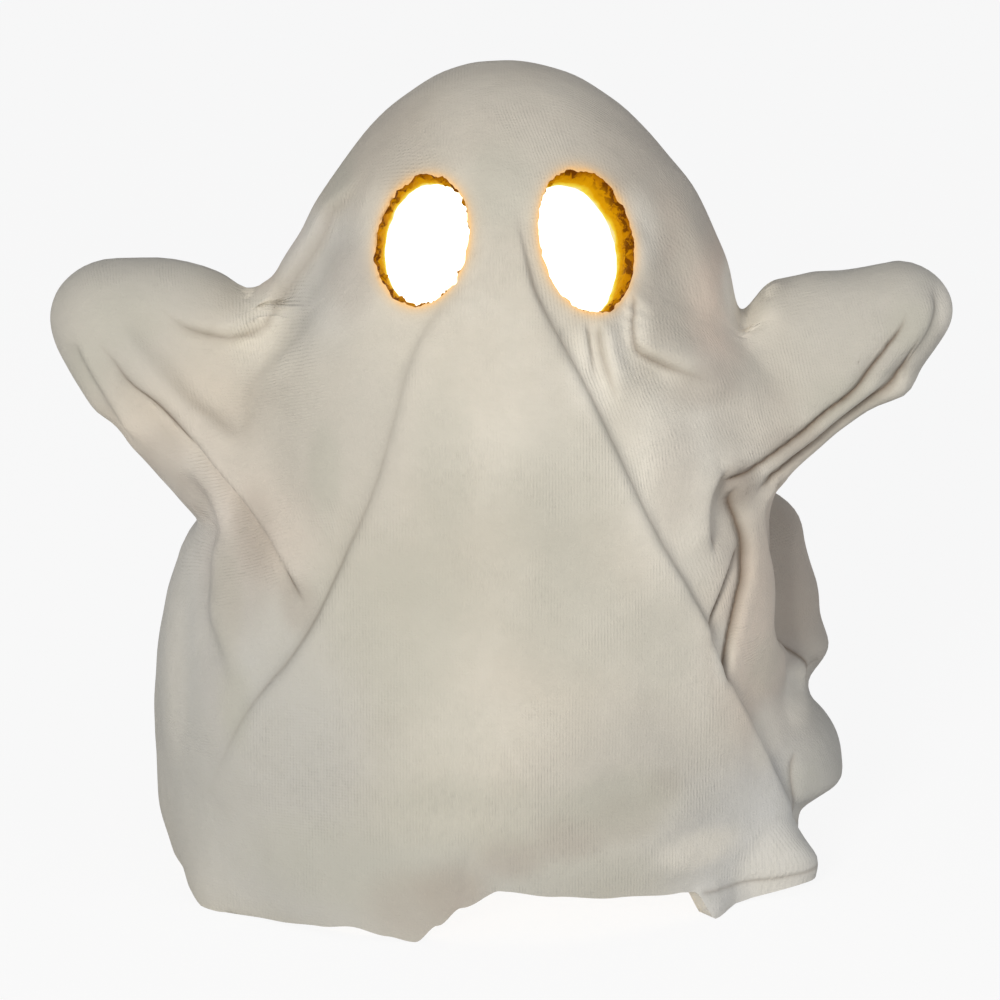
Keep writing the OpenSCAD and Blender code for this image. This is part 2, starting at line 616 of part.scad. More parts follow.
module base_plate() {
    notch_from = 90 + door_turn - lug_angle / 2 - notch_angle;
    notch_sweep = lug_angle + 2 * notch_angle;
    track_from = 90 - lug_angle / 2 - track_angle;
    track_sweep = door_turn + lug_angle + 2 * track_angle;
    counter_d = screw_head_d + 2 * clear_gap;
    color([0.9, 0.87, 0.81]) {
        difference() {
            union() {
                rotate_extrude($fn = 2 * ROUND)
                polygon([[door_hole_r, 0], [plate_r, 0], [plate_r, base_t], [well_out_r, base_t],
                         [well_out_r, roof_top], [0, roof_top], [0, roof_z], [well_r, roof_z],
                         [well_r, base_t], [door_hole_r, base_t]]);
                for (side = [-1, 1])
                    translate([0, side * peg_y, roof_top - 0.4 * well_wall])
                    cylinder(r = peg_r, h = board_z - roof_top + 0.4 * well_wall, $fn = ROUND);
            }
            for (half_turn = [0, 180])
                rotate(half_turn) {
                    wedge(lug_r + 2 * clear_gap, notch_from, notch_sweep, -cut_over, base_t + 2 * cut_over);
                    wedge(lug_r + 3 * clear_gap, track_from, track_sweep,
                          base_t - clear_gap, lug_h + 4 * clear_gap);
                }
            block([knob_x - knob_w / 2 - clear_gap, -slot_l / 2, -cut_over],
                  [knob_w + 2 * clear_gap, slot_l, base_t + 2 * cut_over]);
            for (side = [-1, 1])
                translate([0, side * boss_y, 0]) {
                    translate([0, 0, -cut_over])
                    cylinder(d = boss_bore_d + clear_gap, h = base_t + 2 * cut_over, $fn = ROUND);
                    translate([0, 0, -cut_over])
                    cylinder(d = counter_d, h = screw_head_z + screw_head_h + cut_over, $fn = ROUND);
                }
            block([well_r - strip_slot, -contact_w / 2 - clear_gap, cell_z],
                  [2 * strip_slot, contact_w + 2 * clear_gap, roof_top]);
            block([tab_x - clear_gap, -contact_w / 2 - clear_gap, roof_z - cut_over],
                  [contact_t + 2 * clear_gap, contact_w + 2 * clear_gap, roof_top]);
        }
    }
}

screw_head_d = 1.9 * screw_d;
screw_head_h = 0.5 * screw_d;
screw_head_z = 2 * clear_gap;

module base_screws() {
    drive_w = 0.25 * screw_head_d;
    color([0.72, 0.73, 0.75])
    for (side = [-1, 1])
        translate([0, side * boss_y, screw_head_z])
        difference() {
            union() {
                cylinder(d = screw_head_d, h = screw_head_h, $fn = ROUND);
                cylinder(d = screw_d, h = screw_l, $fn = ROUND);
            }
            for (turn = [0, 90])
                rotate(turn)
                block([-drive_w, -drive_w / 4, -cut_over],
                      [2 * drive_w, drive_w / 2, cut_over + screw_head_h / 2]);
        }
}

module battery_door() {
    slot_depth = 0.6 * door_t;
    color([0.9, 0.87, 0.81])
    difference() {
        union() {
            translate([0, 0, door_z]) cylinder(r = door_r, h = base_t - clear_gap - door_z, $fn = 2 * ROUND);
            translate([0, 0, door_z]) cylinder(r = door_boss_r, h = lug_z + lug_h - door_z, $fn = 2 * ROUND);
            for (half_turn = [0, 180])
                rotate(half_turn) wedge(lug_r, 90 - lug_angle / 2, lug_angle, lug_z, lug_h);
        }
        block([-0.6 * door_r, -coin_slot_w / 2, -cut_over],
              [1.2 * door_r, coin_slot_w, door_z + slot_depth + cut_over]);
    }
}

module coin_cell() {
    edge = 0.1 * cell_t;
    color([0.8, 0.81, 0.83])
    rotate_extrude($fn = 2 * ROUND)
    polygon([[0, cell_z], [cell_d / 2 - edge, cell_z], [cell_d / 2, cell_z + edge],
             [cell_d / 2, cell_top - edge], [cell_d / 2 - edge, cell_top - 2 * clear_gap],
             [0.86 * cell_d / 2, cell_top - 2 * clear_gap], [0.84 * cell_d / 2, cell_top], [0, cell_top]]);
}

// The cell's edge spring stands in a slot in the well's wall; the top spring hangs from the roof
strip_x = cell_d / 2 + 2 * clear_gap;
strip_slot = contact_t + 4 * clear_gap;
strip_top = board_z - 0.5 * board_t;
tab_x = -0.62 * well_r;
spring_tip_x = 0.2 * well_r;

module contact_positive() {
    color([0.83, 0.72, 0.42])
    block([strip_x, -contact_w / 2, cell_z + 2 * clear_gap],
          [contact_t, contact_w, strip_top - cell_z - 2 * clear_gap]);
}

module contact_negative() {
    touch_z = cell_top + clear_gap;
    under_z = roof_z - contact_t - clear_gap;
    color([0.83, 0.72, 0.42])
    translate([0, contact_w / 2, 0])
    rotate([90, 0, 0])
    linear_extrude(contact_w)
    polygon([[tab_x, strip_top], [tab_x, under_z], [0.25 * tab_x, under_z], [spring_tip_x, touch_z],
             [2 * spring_tip_x, touch_z + contact_t], [2 * spring_tip_x, touch_z + 2 * contact_t],
             [spring_tip_x, touch_z + contact_t], [0.25 * tab_x, under_z + contact_t],
             [tab_x + contact_t, under_z + contact_t], [tab_x + contact_t, strip_top]]);
}

// A thin insulated lead: one smooth tube through a few points
LEAD_SIDES = 8;
LEAD_STEPS = 5;
// A direction that no lead runs in, from which the sides of its tube are counted
LEAD_TWIST = [0.4, 0.9, 0.2];
function bend(p, i, t) =
    let (a = i == 0 ? 2 * p[0] - p[1] : p[i - 1], b = p[i], c = p[i + 1],
         d = i + 2 < len(p) ? p[i + 2] : 2 * c - b)
    (2 * b + (c - a) * t + (2 * a - 5 * b + 4 * c - d) * t * t + (3 * b - a - 3 * c + d) * t * t * t) / 2;
function unit(v) = v / norm(v);

module lead(points) {
    path = [for (i = [0 : len(points) - 2])
                each [for (k = [0 : LEAD_STEPS - 1]) bend(points, i, k / LEAD_STEPS)],
            points[len(points) - 1]];
    last = len(path) - 1;
    rings = [for (i = [0 : last])
        let (ahead = unit(path[min(last, i + 1)] - path[max(0, i - 1)]),
             side = unit(cross(ahead, LEAD_TWIST)), up = cross(ahead, side))
        each [for (k = [0 : LEAD_SIDES - 1])
            path[i] + lead_r * (cos(360 * k / LEAD_SIDES) * side + sin(360 * k / LEAD_SIDES) * up)]];
    walls = [for (i = [0 : last - 1]) each [for (k = [0 : LEAD_SIDES - 1])
        let (a = i * LEAD_SIDES + k, b = i * LEAD_SIDES + (k + 1) % LEAD_SIDES)
        each [[a, b, b + LEAD_SIDES], [a, b + LEAD_SIDES, a + LEAD_SIDES]]]];
    near_end = [for (k = [LEAD_SIDES - 1 : -1 : 0]) k];
    far_end = [for (k = [0 : LEAD_SIDES - 1]) last * LEAD_SIDES + k];
    polyhedron(points = rings, faces = concat(walls, [near_end], [far_end]));
}

terminal_top = base_t + switch_h + terminal_h;
arch_z = board_top + 1.6 * lead_d;
tap_z = strip_top - lead_r - clear_gap;
lead_gap = clear_gap / 2;

// From the cell's edge spring to the switch
module red_lead() {
    start_x = strip_x + contact_t + lead_gap;
    color([0.75, 0.12, 0.1])
    lead([[start_x, 0, tap_z], [start_x + lead_d, 0, tap_z],
          [start_x + 1.6 * lead_d, terminal_y / 2, arch_z - lead_d], [knob_x, terminal_y, arch_z - lead_d],
          [knob_x, terminal_y, terminal_top + 2 * lead_d], [knob_x, terminal_y, terminal_top + lead_gap]]);
}

// From the switch to the board
module yellow_lead() {
    end_x = board_l / 2 - 2 * lead_d;
    end_y = -board_w / 2 + lead_d;
    color([0.85, 0.7, 0.15])
    lead([[knob_x, -terminal_y, terminal_top + lead_gap], [knob_x, -terminal_y, terminal_top + 2 * lead_d],
          [knob_x - lead_d, -terminal_y - lead_d, arch_z], [end_x + lead_d, end_y, arch_z + lead_r],
          [end_x, end_y, arch_z - lead_r], [end_x, end_y, board_top + lead_gap]]);
}

// From the cell's top spring to the board
module black_lead() {
    tap_x = tab_x + contact_t / 2;
    end_y = board_w / 2 - lead_d;
    color([0.1, 0.1, 0.11])
    lead([[tap_x, contact_w / 2 + lead_gap, tap_z], [tap_x, board_w / 2, tap_z],
          [tap_x, board_w / 2 + 1.2 * lead_d, board_z + board_t / 2], [tap_x, board_w / 2, arch_z],
          [tap_x, end_y, arch_z - lead_r / 2], [tap_x, end_y, board_top + lead_gap]]);
}

ghost_shell();
candle_cup();
flame_lens();
led_lamp();
circuit_board();
driver_chip();
base_plate();
base_screws();
battery_door();
coin_cell();
contact_positive();
contact_negative();
switch_housing();
switch_slider();
red_lead();
yellow_lead();
black_lead();
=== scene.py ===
import json
import logging
import math
from collections.abc import Callable, Sequence
from dataclasses import dataclass, field
from enum import Enum

import bpy
import numpy as np
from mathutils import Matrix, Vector

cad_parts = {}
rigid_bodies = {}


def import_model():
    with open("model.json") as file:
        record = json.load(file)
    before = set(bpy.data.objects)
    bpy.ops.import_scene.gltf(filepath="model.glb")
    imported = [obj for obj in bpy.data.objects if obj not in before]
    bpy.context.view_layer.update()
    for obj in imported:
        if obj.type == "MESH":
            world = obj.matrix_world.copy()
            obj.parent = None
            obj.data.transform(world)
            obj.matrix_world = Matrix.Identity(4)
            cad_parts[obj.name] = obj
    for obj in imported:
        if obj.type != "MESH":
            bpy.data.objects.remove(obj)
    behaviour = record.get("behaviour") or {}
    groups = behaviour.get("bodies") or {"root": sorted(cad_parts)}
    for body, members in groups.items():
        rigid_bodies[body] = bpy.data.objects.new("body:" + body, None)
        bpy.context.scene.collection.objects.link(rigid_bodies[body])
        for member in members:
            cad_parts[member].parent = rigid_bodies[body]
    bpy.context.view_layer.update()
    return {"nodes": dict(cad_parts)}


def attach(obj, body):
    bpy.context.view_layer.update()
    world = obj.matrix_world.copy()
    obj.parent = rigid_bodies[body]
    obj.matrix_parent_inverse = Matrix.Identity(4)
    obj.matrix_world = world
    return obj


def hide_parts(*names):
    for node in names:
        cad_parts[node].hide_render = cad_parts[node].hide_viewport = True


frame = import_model()

LOG = logging.getLogger("ghost_lantern")

# Sizes are given in millimetres and angles in degrees; the scene itself is in metres
MM = 0.001


def paint(red: float, green: float, blue: float) -> tuple[float, float, float, float]:
    """Turns a screen colour into the linear colour that a shader wants.

    Args:
        red: Red from 0 to 255.
        green: Green from 0 to 255.
        blue: Blue from 0 to 255.

    Returns:
        The colour as linear red, green, blue and full opacity.
    """
    screen = [channel / 255 for channel in (red, green, blue)]
    linear = [c / 12.92 if c <= 0.04045 else ((c + 0.055) / 1.055) ** 2.4 for c in screen]
    return (linear[0], linear[1], linear[2], 1.0)


BLACK = paint(0, 0, 0)
WHITE = paint(255, 255, 255)


def share01(x: np.ndarray) -> np.ndarray:
    """Keeps values between 0 and 1."""
    return np.clip(x, 0.0, 1.0)


def ease(x: np.ndarray) -> np.ndarray:
    """Runs smoothly from 0 to 1 while x does, level at both ends."""
    c = share01(x)
    return c * c * (3 - 2 * c)


def mix(a: np.ndarray, b: np.ndarray, share: np.ndarray) -> np.ndarray:
    """Gives the value that lies a share of the way from a to b."""
    return a + (b - a) * share


def join(a: np.ndarray, b: np.ndarray, rounding: float) -> np.ndarray:
    """Joins two distances with a rounding where the two forms meet."""
    h = share01(0.5 + (b - a) / rounding / 2)
    return mix(b, a, h) - rounding * h * (1 - h)


def rod(
    p: np.ndarray,
    start: Sequence[float],
    end: Sequence[float],
    start_r: float,
    end_r: float,
    flat: float = 1.0,
) -> np.ndarray:
    """Measures the distance to a rod with round ends.

    Args:
        p: Places, one a row.
        start: Middle of the first end.
        end: Middle of the second end.
        start_r: Radius at the first end.
        end_r: Radius at the second end.
        flat: Depth from front to back, as a share of the width.

    Returns:
        The distance at each place, below zero inside the rod.
    """
    q = p * np.array([1, 1 / flat, 1])
    a, along = np.array(start, float), np.array(end, float) - np.array(start, float)
    t = share01((q - a) @ along / (along @ along))
    return np.linalg.norm(q - a - t[:, None] * along, axis=1) - mix(start_r, end_r, t)


def egg(p: np.ndarray, middle: Sequence[float], half: Sequence[float]) -> np.ndarray:
    """Measures the distance to an egg shape.

    Args:
        p: Places, one a row.
        middle: Middle of the egg.
        half: Its three half sizes.

    Returns:
        The distance at each place, below zero inside the egg.
    """
    return (np.linalg.norm((p - np.array(middle)) / np.array(half), axis=1) - 1) * min(half)


def smooth_line(points: Sequence[Sequence[float]], steps: int = 4) -> np.ndarray:
    """Draws a smooth line through a few points.

    Args:
        points: The points that the line passes.
        steps: Steps between two of them.

    Returns:
        The points of the smooth line.
    """
    p = np.array(points, float)
    if len(p) < 3:
        return p
    e = np.vstack([2 * p[0] - p[1], p, 2 * p[-1] - p[-2]])
    t = np.arange(steps)[None, :, None] / steps
    a, b, c, d = (e[i : len(e) - 3 + i, None] for i in range(4))
    legs = b + 0.5 * t * (c - a + t * (2 * a - 5 * b + 4 * c - d + t * (3 * (b - c) + d - a)))
    return np.vstack([legs.reshape(-1, 2), p[-1]])


def ripple(p: np.ndarray, seed: int, pitch: float, waves: int = 12) -> np.ndarray:
    """Gives a soft random unevenness in space, the same on each run.

    Args:
        p: Places, one a row.
        seed: Number that picks the pattern.
        pitch: Rough distance between two swells.
        waves: Number of plane waves that are added up.

    Returns:
        Heights between about -1 and 1.
    """
    pick = np.random.default_rng(seed)
    runs = pick.normal(size=(waves, 3))
    paces = 2 * math.pi / pitch * pick.uniform(0.6, 1.4, waves)
    runs *= (paces / np.linalg.norm(runs, axis=1))[:, None]
    starts = pick.uniform(0, 2 * math.pi, waves)
    return np.sin(p @ runs.T + starts).sum(1) / math.sqrt(waves)


# How far from a crease line, in millimetres, its gap is kept for the finish
GAP_FAR = 3.8
# The depth from which a crease line is drawn at full force, as a groove and as painted shade, and the
# width from which it isn't drawn
DRAWN_DEPTH = 2.4
DRAWN_WIDTH = 3.0


@dataclass(frozen=True)
class Crease:
    """One crease of the drape, seen from the front, with the rise of the cloth on both sides."""

    name: str
    points: tuple[tuple[float, float], ...]
    right: tuple[float, float]
    left: tuple[float, float]
    sharp: float
    line: tuple[float, float]
    fade: tuple[float, float]

    def rise(self, q: np.ndarray) -> tuple[np.ndarray, np.ndarray, np.ndarray]:
        """Works out what the crease does to the cloth.

        Args:
            q: Places seen from the front, as x and height.

        Returns:
            The rise, how strong the crease line itself is from 0 to 1, as groove and painted shade, and
            the signed distance.
        """
        pts = smooth_line(self.points)
        lengths = np.linalg.norm(np.diff(pts, axis=0), axis=1)
        before = np.concatenate([[0], np.cumsum(lengths)])
        near = np.full(len(q), 1e9)
        side, along = np.zeros(len(q)), np.zeros(len(q))
        for a, b, length, start in zip(pts[:-1], pts[1:], lengths, before):
            e = (b - a) / length
            v = q - a
            t = np.clip(v @ e, 0, length)
            gap = np.hypot(*(v - t[:, None] * e).T)
            closer = gap < near
            near = np.where(closer, gap, near)
            side = np.where(closer, np.sign(e[0] * v[:, 1] - e[1] * v[:, 0]), side)
            along = np.where(closer, (start + t) / before[-1], along)
        first, last = (max(share, 1e-3) for share in self.fade)
        strength = ease(along / first) * ease((1 - along) / last)
        signed = near * side
        right_side = 0.5 + 0.5 * signed / np.hypot(signed, self.sharp)
        right_rise = self.right[0] * (1 - ease(near / self.right[1]))
        left_rise = self.left[0] * (1 - ease(near / self.left[1]))
        depth, width = self.line
        cut = depth * share01(1 - near / width) ** 2
        force = strength * share01(depth / DRAWN_DEPTH) * share01(DRAWN_WIDTH - width)
        force = force * (1 - ease(near / GAP_FAR))
        return (mix(left_rise, right_rise, right_side) - cut) * strength, force, signed


# The creases, each followed from its upper end, by x and height in millimetres
CREASES = (
    Crease("panel left", ((-5.5, 144), (-9, 139), (-14, 133), (-18, 126), (-21, 116), (-24, 104.5),
           (-27, 95), (-32, 83), (-38, 69.5), (-44.5, 59), (-49.5, 53), (-56, 43.5), (-62, 30),
           (-66, 21)),
           right=(2, 18), left=(-1, 11), sharp=0.9, line=(0.75, 0.9), fade=(0.62, 0.35)),
    Crease("panel left top", ((-5.5, 144), (-9, 139), (-14, 133), (-18, 126), (-21, 116), (-24, 104.5)),
           right=(1.4, 12), left=(-0.8, 10), sharp=2.6, line=(0.2, 4), fade=(0.2, 0.35)),
    Crease("panel right", ((2.5, 157.5), (5, 147.5), (7, 139.5), (9, 135), (11.5, 130.5), (17.5, 120),
           (24, 106.5), (33.5, 85.5), (42.5, 68.5), (49, 52.5), (55, 39.5), (60.5, 27), (65, 16.5),
           (71, 0)),
           right=(-1.2, 12), left=(1.8, 18), sharp=0.55, line=(0.6, 0.9), fade=(0.12, 0)),
    Crease("left arm fold", ((-89, 123), (-84, 117.5), (-80, 112), (-75, 108.5), (-67, 101), (-59, 94),
           (-53, 87.5), (-47.5, 79.5), (-43.5, 73), (-41.5, 69.5)),
           right=(3.4, 12), left=(-2.2, 9), sharp=0.4, line=(2.2, 1.5), fade=(0.3, 0.12)),
    Crease("left arm second", ((-93.5, 122), (-91.5, 117), (-87, 109.5), (-82.5, 102), (-80.5, 99.5)),
           right=(1.6, 6), left=(-1.3, 5), sharp=0.4, line=(0.5, 1.2), fade=(0.2, 0.05)),
    Crease("left arm crest", ((-83, 127), (-78, 119.5), (-72.5, 114.5), (-68, 109), (-63, 105.5),
           (-55, 101)),
           right=(-1.7, 13), left=(1.5, 7), sharp=1.6, line=(-2.2, 2.4), fade=(0.2, 0.1)),
    Crease("left underarm", ((-70.5, 95), (-66.5, 91.5), (-64, 89), (-62, 85.5), (-61.5, 82),
           (-63, 78.5), (-63, 71.5), (-63, 65), (-61, 60), (-59, 54.5), (-58, 48)),
           right=(2.4, 12), left=(-1.8, 9), sharp=1.8, line=(0.5, 3), fade=(0.12, 0.25)),
    Crease("left notch", ((-68, 85.5), (-64.5, 83), (-62, 81.5)),
           right=(0.3, 5), left=(0.3, 5), sharp=1, line=(0.3, 1.4), fade=(0, 0.2)),
    Crease("left shoulder", ((-75, 128.5), (-71.5, 126), (-68, 124), (-64, 123), (-59, 122.5),
           (-55.5, 123.5), (-52.5, 124.5), (-50, 127.5), (-46.5, 133), (-43, 139.5), (-39, 146),
           (-36.5, 150.5), (-33, 154), (-27, 162)),
           right=(2.4, 14), left=(-1.7, 10), sharp=0.45, line=(1, 1.1), fade=(0.2, 0.3)),
    Crease("right shoulder", ((52, 129), (54, 126), (56, 124), (57.5, 122)),
           right=(0.4, 8), left=(0.4, 8), sharp=1, line=(0.9, 3), fade=(0.1, 0.5)),
    Crease("right arm fold", ((88.5, 128.5), (87, 124.5), (83.5, 120), (80, 115), (76, 109.5),
           (71.5, 106.5), (66, 102.5), (60.5, 99.5), (55, 97), (48, 95)),
           right=(2.4, 7), left=(1.6, 10), sharp=0.3, line=(3.2, 2), fade=(0.15, 0.03)),
    Crease("right arm lower", ((92.5, 124.5), (88, 115), (79.5, 106.5), (75, 103), (69.5, 98.5),
           (63.5, 95), (58.5, 93), (54, 91.5)),
           right=(1.2, 6), left=(-0.9, 5), sharp=0.35, line=(2.3, 1.6), fade=(0.2, 0.1)),
    Crease("right tip edge", ((94.5, 133), (95, 128), (93, 121.5), (88, 113.5)),
           right=(-0.9, 4), left=(0.9, 6), sharp=0.5, line=(0.8, 1.2), fade=(0.2, 0.1)),
    Crease("armpit edge", ((48, 97), (46, 94), (45.5, 90.5), (45.5, 86), (46, 83), (46.5, 79)),
           right=(-2.4, 9), left=(1.2, 9), sharp=0.4, line=(1.8, 1.6), fade=(0.1, 0.3)),
    Crease("pleat one", ((50.5, 94), (50, 90.5), (51.5, 85.5), (52.5, 80.5), (53, 76), (53, 71.5),
           (52, 66.5), (51, 61), (50, 55.5), (49, 51.5)),
           right=(0.9, 8), left=(-0.6, 6), sharp=0.4, line=(2.6, 1.4), fade=(0.1, 0)),
    Crease("pleat two", ((52, 79), (50.5, 75.5), (49, 71.5), (47.5, 67.5), (46, 64), (45, 61)),
           right=(-0.3, 5), left=(0.8, 9), sharp=0.4, line=(2.6, 1.4), fade=(0.1, 0)),
    Crease("column edge", ((60.5, 90.5), (58.5, 87.5), (58, 84.5), (58, 81), (58.5, 76.5), (60, 70),
           (60.5, 65.5), (60.5, 61.5), (60.5, 56), (64, 48), (67.5, 42), (71.5, 33.5)),
           right=(-2.4, 8), left=(1.8, 9), sharp=0.4, line=(2, 1.6), fade=(0, 0.15)),
    Crease("lobe crease", ((66, 30), (65, 27.5), (65, 23), (65.5, 15.5)),
           right=(0.5, 5), left=(-0.3, 4), sharp=0.5, line=(1, 1.2), fade=(0.15, 0)),
    Crease("lobe upper", ((50, 49), (57, 43.5), (65.5, 38), (72, 33.5)),
           right=(-0.5, 5), left=(0.5, 5), sharp=1.2, line=(0.5, 3), fade=(0.3, 0)),
    Crease("flap edge", ((43, 6.0), (49, 5.2), (54.3, 4.4), (60, 4.6), (64.6, 4.6), (70, 4.8)),
           right=(0.3, 4), left=(-0.6, 4), sharp=0.4, line=(0.9, 0.9), fade=(0.05, 0)),
    Crease("cheek one", ((20.5, 132), (21, 128), (22, 123.5), (23.5, 119), (25.5, 113.5)),
           right=(2, 6), left=(-1, 4), sharp=0.5, line=(1, 1.1), fade=(0.15, 0.5)),
    Crease("cheek two", ((18.5, 132), (19.5, 126.5), (20.5, 120)),
           right=(-0.8, 4), left=(0.9, 4), sharp=0.5, line=(0.8, 1), fade=(0.2, 0.5)),
    Crease("cheek three", ((28, 137.5), (28.5, 134), (28, 130), (29, 125.5), (34, 122), (40.5, 118.5),
           (46, 116)),
           right=(2, 9), left=(-1.4, 6), sharp=0.5, line=(1.5, 1.2), fade=(0.1, 0.5)),
    Crease("head fold right", ((33, 159), (35, 155.5), (37.5, 147), (40, 139), (43.5, 131.5),
           (48, 125.5)),
           right=(2.2, 14), left=(-1.4, 10), sharp=1.4, line=(0.5, 3), fade=(0.25, 0.3)),
    Crease("eye fold right", ((29.5, 152), (31.5, 146.5), (32.5, 141.5), (30.5, 137)),
           right=(-0.7, 7), left=(0.9, 6), sharp=1.5, line=(0, 3), fade=(0.3, 0.3)),
    Crease("brow fold left", ((-17, 128), (-21, 121.5), (-22.5, 116)),
           right=(0.4, 7), left=(-0.4, 7), sharp=1.5, line=(0.3, 3), fade=(0.3, 0.4)),
    Crease("left chest fold", ((-36.5, 151.5), (-38.5, 141), (-43, 127), (-54, 114.5), (-62, 110.5)),
           right=(2, 16), left=(-1.6, 14), sharp=3, line=(0.5, 6), fade=(0.3, 0.4)),
    Crease("right chest fold", ((29.5, 125.5), (40.5, 117), (51.5, 110.5), (63, 110)),
           right=(2, 14), left=(-1.6, 14), sharp=3, line=(0.4, 6), fade=(0.3, 0.4)),
    Crease("lap fold", ((41, 36), (36, 27.5), (27, 23), (15, 21), (0, 20.5)),
           right=(2.3, 20), left=(-1.7, 20), sharp=4, line=(0.8, 12), fade=(0.35, 0.4)),
    Crease("hem hollow", ((-6.5, 10.5), (-7, 16.5), (-4, 23), (0, 28.5)),
           right=(0.3, 12), left=(0.3, 12), sharp=4, line=(2.2, 14), fade=(0, 0.5)),
    Crease("lobe small", ((68.5, 39.5), (71.5, 40.5)),
           right=(0.3, 4), left=(-0.3, 4), sharp=0.6, line=(0.5, 1.8), fade=(0.2, 0.1)),
)

# The creases that bound the front panel, with the side on which it lies
PANEL_SIDES = {"panel left": 1, "panel right": -1}


@dataclass(frozen=True)
class Swell:
    """A soft rise or hollow of the front: its middle, half sizes and height, in millimetres."""

    at: tuple[float, float]
    half: tuple[float, float]
    height: float


SWELLS = (
    Swell((4.4, 116.8), (7, 30), 1.3),
    Swell((-12.7, 46.4), (26, 24), 1.2),
    Swell((19.1, 54.4), (24, 30), 0.8),
    Swell((-36.0, 99.9), (15, 20), 1.0),
    Swell((40.3, 99.5), (12, 20), 0.8),
    Swell((29.6, 137.3), (5, 10), -0.6),
    Swell((-31.9, 142.5), (9, 16), -0.5),
)


@dataclass(frozen=True)
class Pull:
    """A soft pull on the shell, in millimetres: its middle, its reach each way and its move."""

    at: tuple[float, float, float]
    reach: tuple[float, float, float]
    move: tuple[float, float, float]
    peaked: bool = False

    def moves(self, p: np.ndarray) -> np.ndarray:
        """Gives the move of each place.

        Args:
            p: Places on the shell, one a row.

        Returns:
            The moves, one a row.
        """
        away = (((p - np.array(self.at)) / np.array(self.reach)) ** 2).sum(1)
        share = np.maximum(1 - np.sqrt(away), 0) if self.peaked else np.exp(-away)
        return share[:, None] * np.array(self.move)


# The pulls that bring the outline to the photo's: arms, neck, underarms, lobes, hem and corners
PULLS = (
    Pull((-72, 0, 134), (12, 20, 12), (0, 0, 2.8)),
    Pull((-56, 0, 131), (4, 20, 8), (0, 0, -2.0)),
    Pull((-48, 0, 138), (6, 25, 8), (-1.6, 0, 0)),
    Pull((-97, 0, 116), (10, 20, 12), (1.8, 0, 0.5)),
    Pull((-68, 0, 80), (9, 20, 4.5), (3.8, 0, 0)),
    Pull((66, 0, 134), (9, 20, 10), (0, 0, 3.0)),
    Pull((52.4, 0, 128), (3.6, 25, 8), (0, 0, -4.2)),
    Pull((47, 0, 141), (6, 25, 9), (0.3, 0, 0)),
    Pull((96, 0, 117), (8, 20, 7), (-2.6, 0, 0)),
    Pull((88, 0, 108.5), (6, 20, 4.5), (2.6, 0, -1.2)),
    Pull((66, 0, 91), (10, 20, 8), (-2.6, 0, 0)),
    Pull((64, 27, 80), (10, 18, 9), (1.5, 0, 3.5)),
    Pull((73, 27, 60), (10, 20, 12), (-1.4, 0, 0)),
    Pull((71, 10, 42), (8, 25, 5), (3.4, 0, 0)),
    Pull((61, -22, 3.0), (13, 17, 14), (8.4, 0, 1.6), peaked=True),
    Pull((66, -10, 14), (10, 14, 4), (-1.6, 0, 0)),
    Pull((72, -6, 18), (8, 16, 3), (0.9, 0, 0)),
    Pull((76, -4, 19.5), (9, 20, 4), (1.0, 0, 0)),
    Pull((67, 27, 73), (8, 18, 7), (2.4, 0, 0)),
    Pull((73, 20, 48), (9, 20, 5), (-1.2, 0, 0)),
    Pull((-44, 0, 148), (8, 25, 11), (0.9, 0, 0)),
    Pull((59, 0, 128), (4, 20, 8), (0, 0, 1.6)),
    Pull((-42, -48, 0), (22, 16, 14), (0, -5.6, 0)),
    Pull((47.5, -42, 0), (10, 14, 8), (1.0, -6.0, 0), peaked=True),
    Pull((-74, -6, 12), (8, 25, 11), (-1.0, 0, 0)),
)


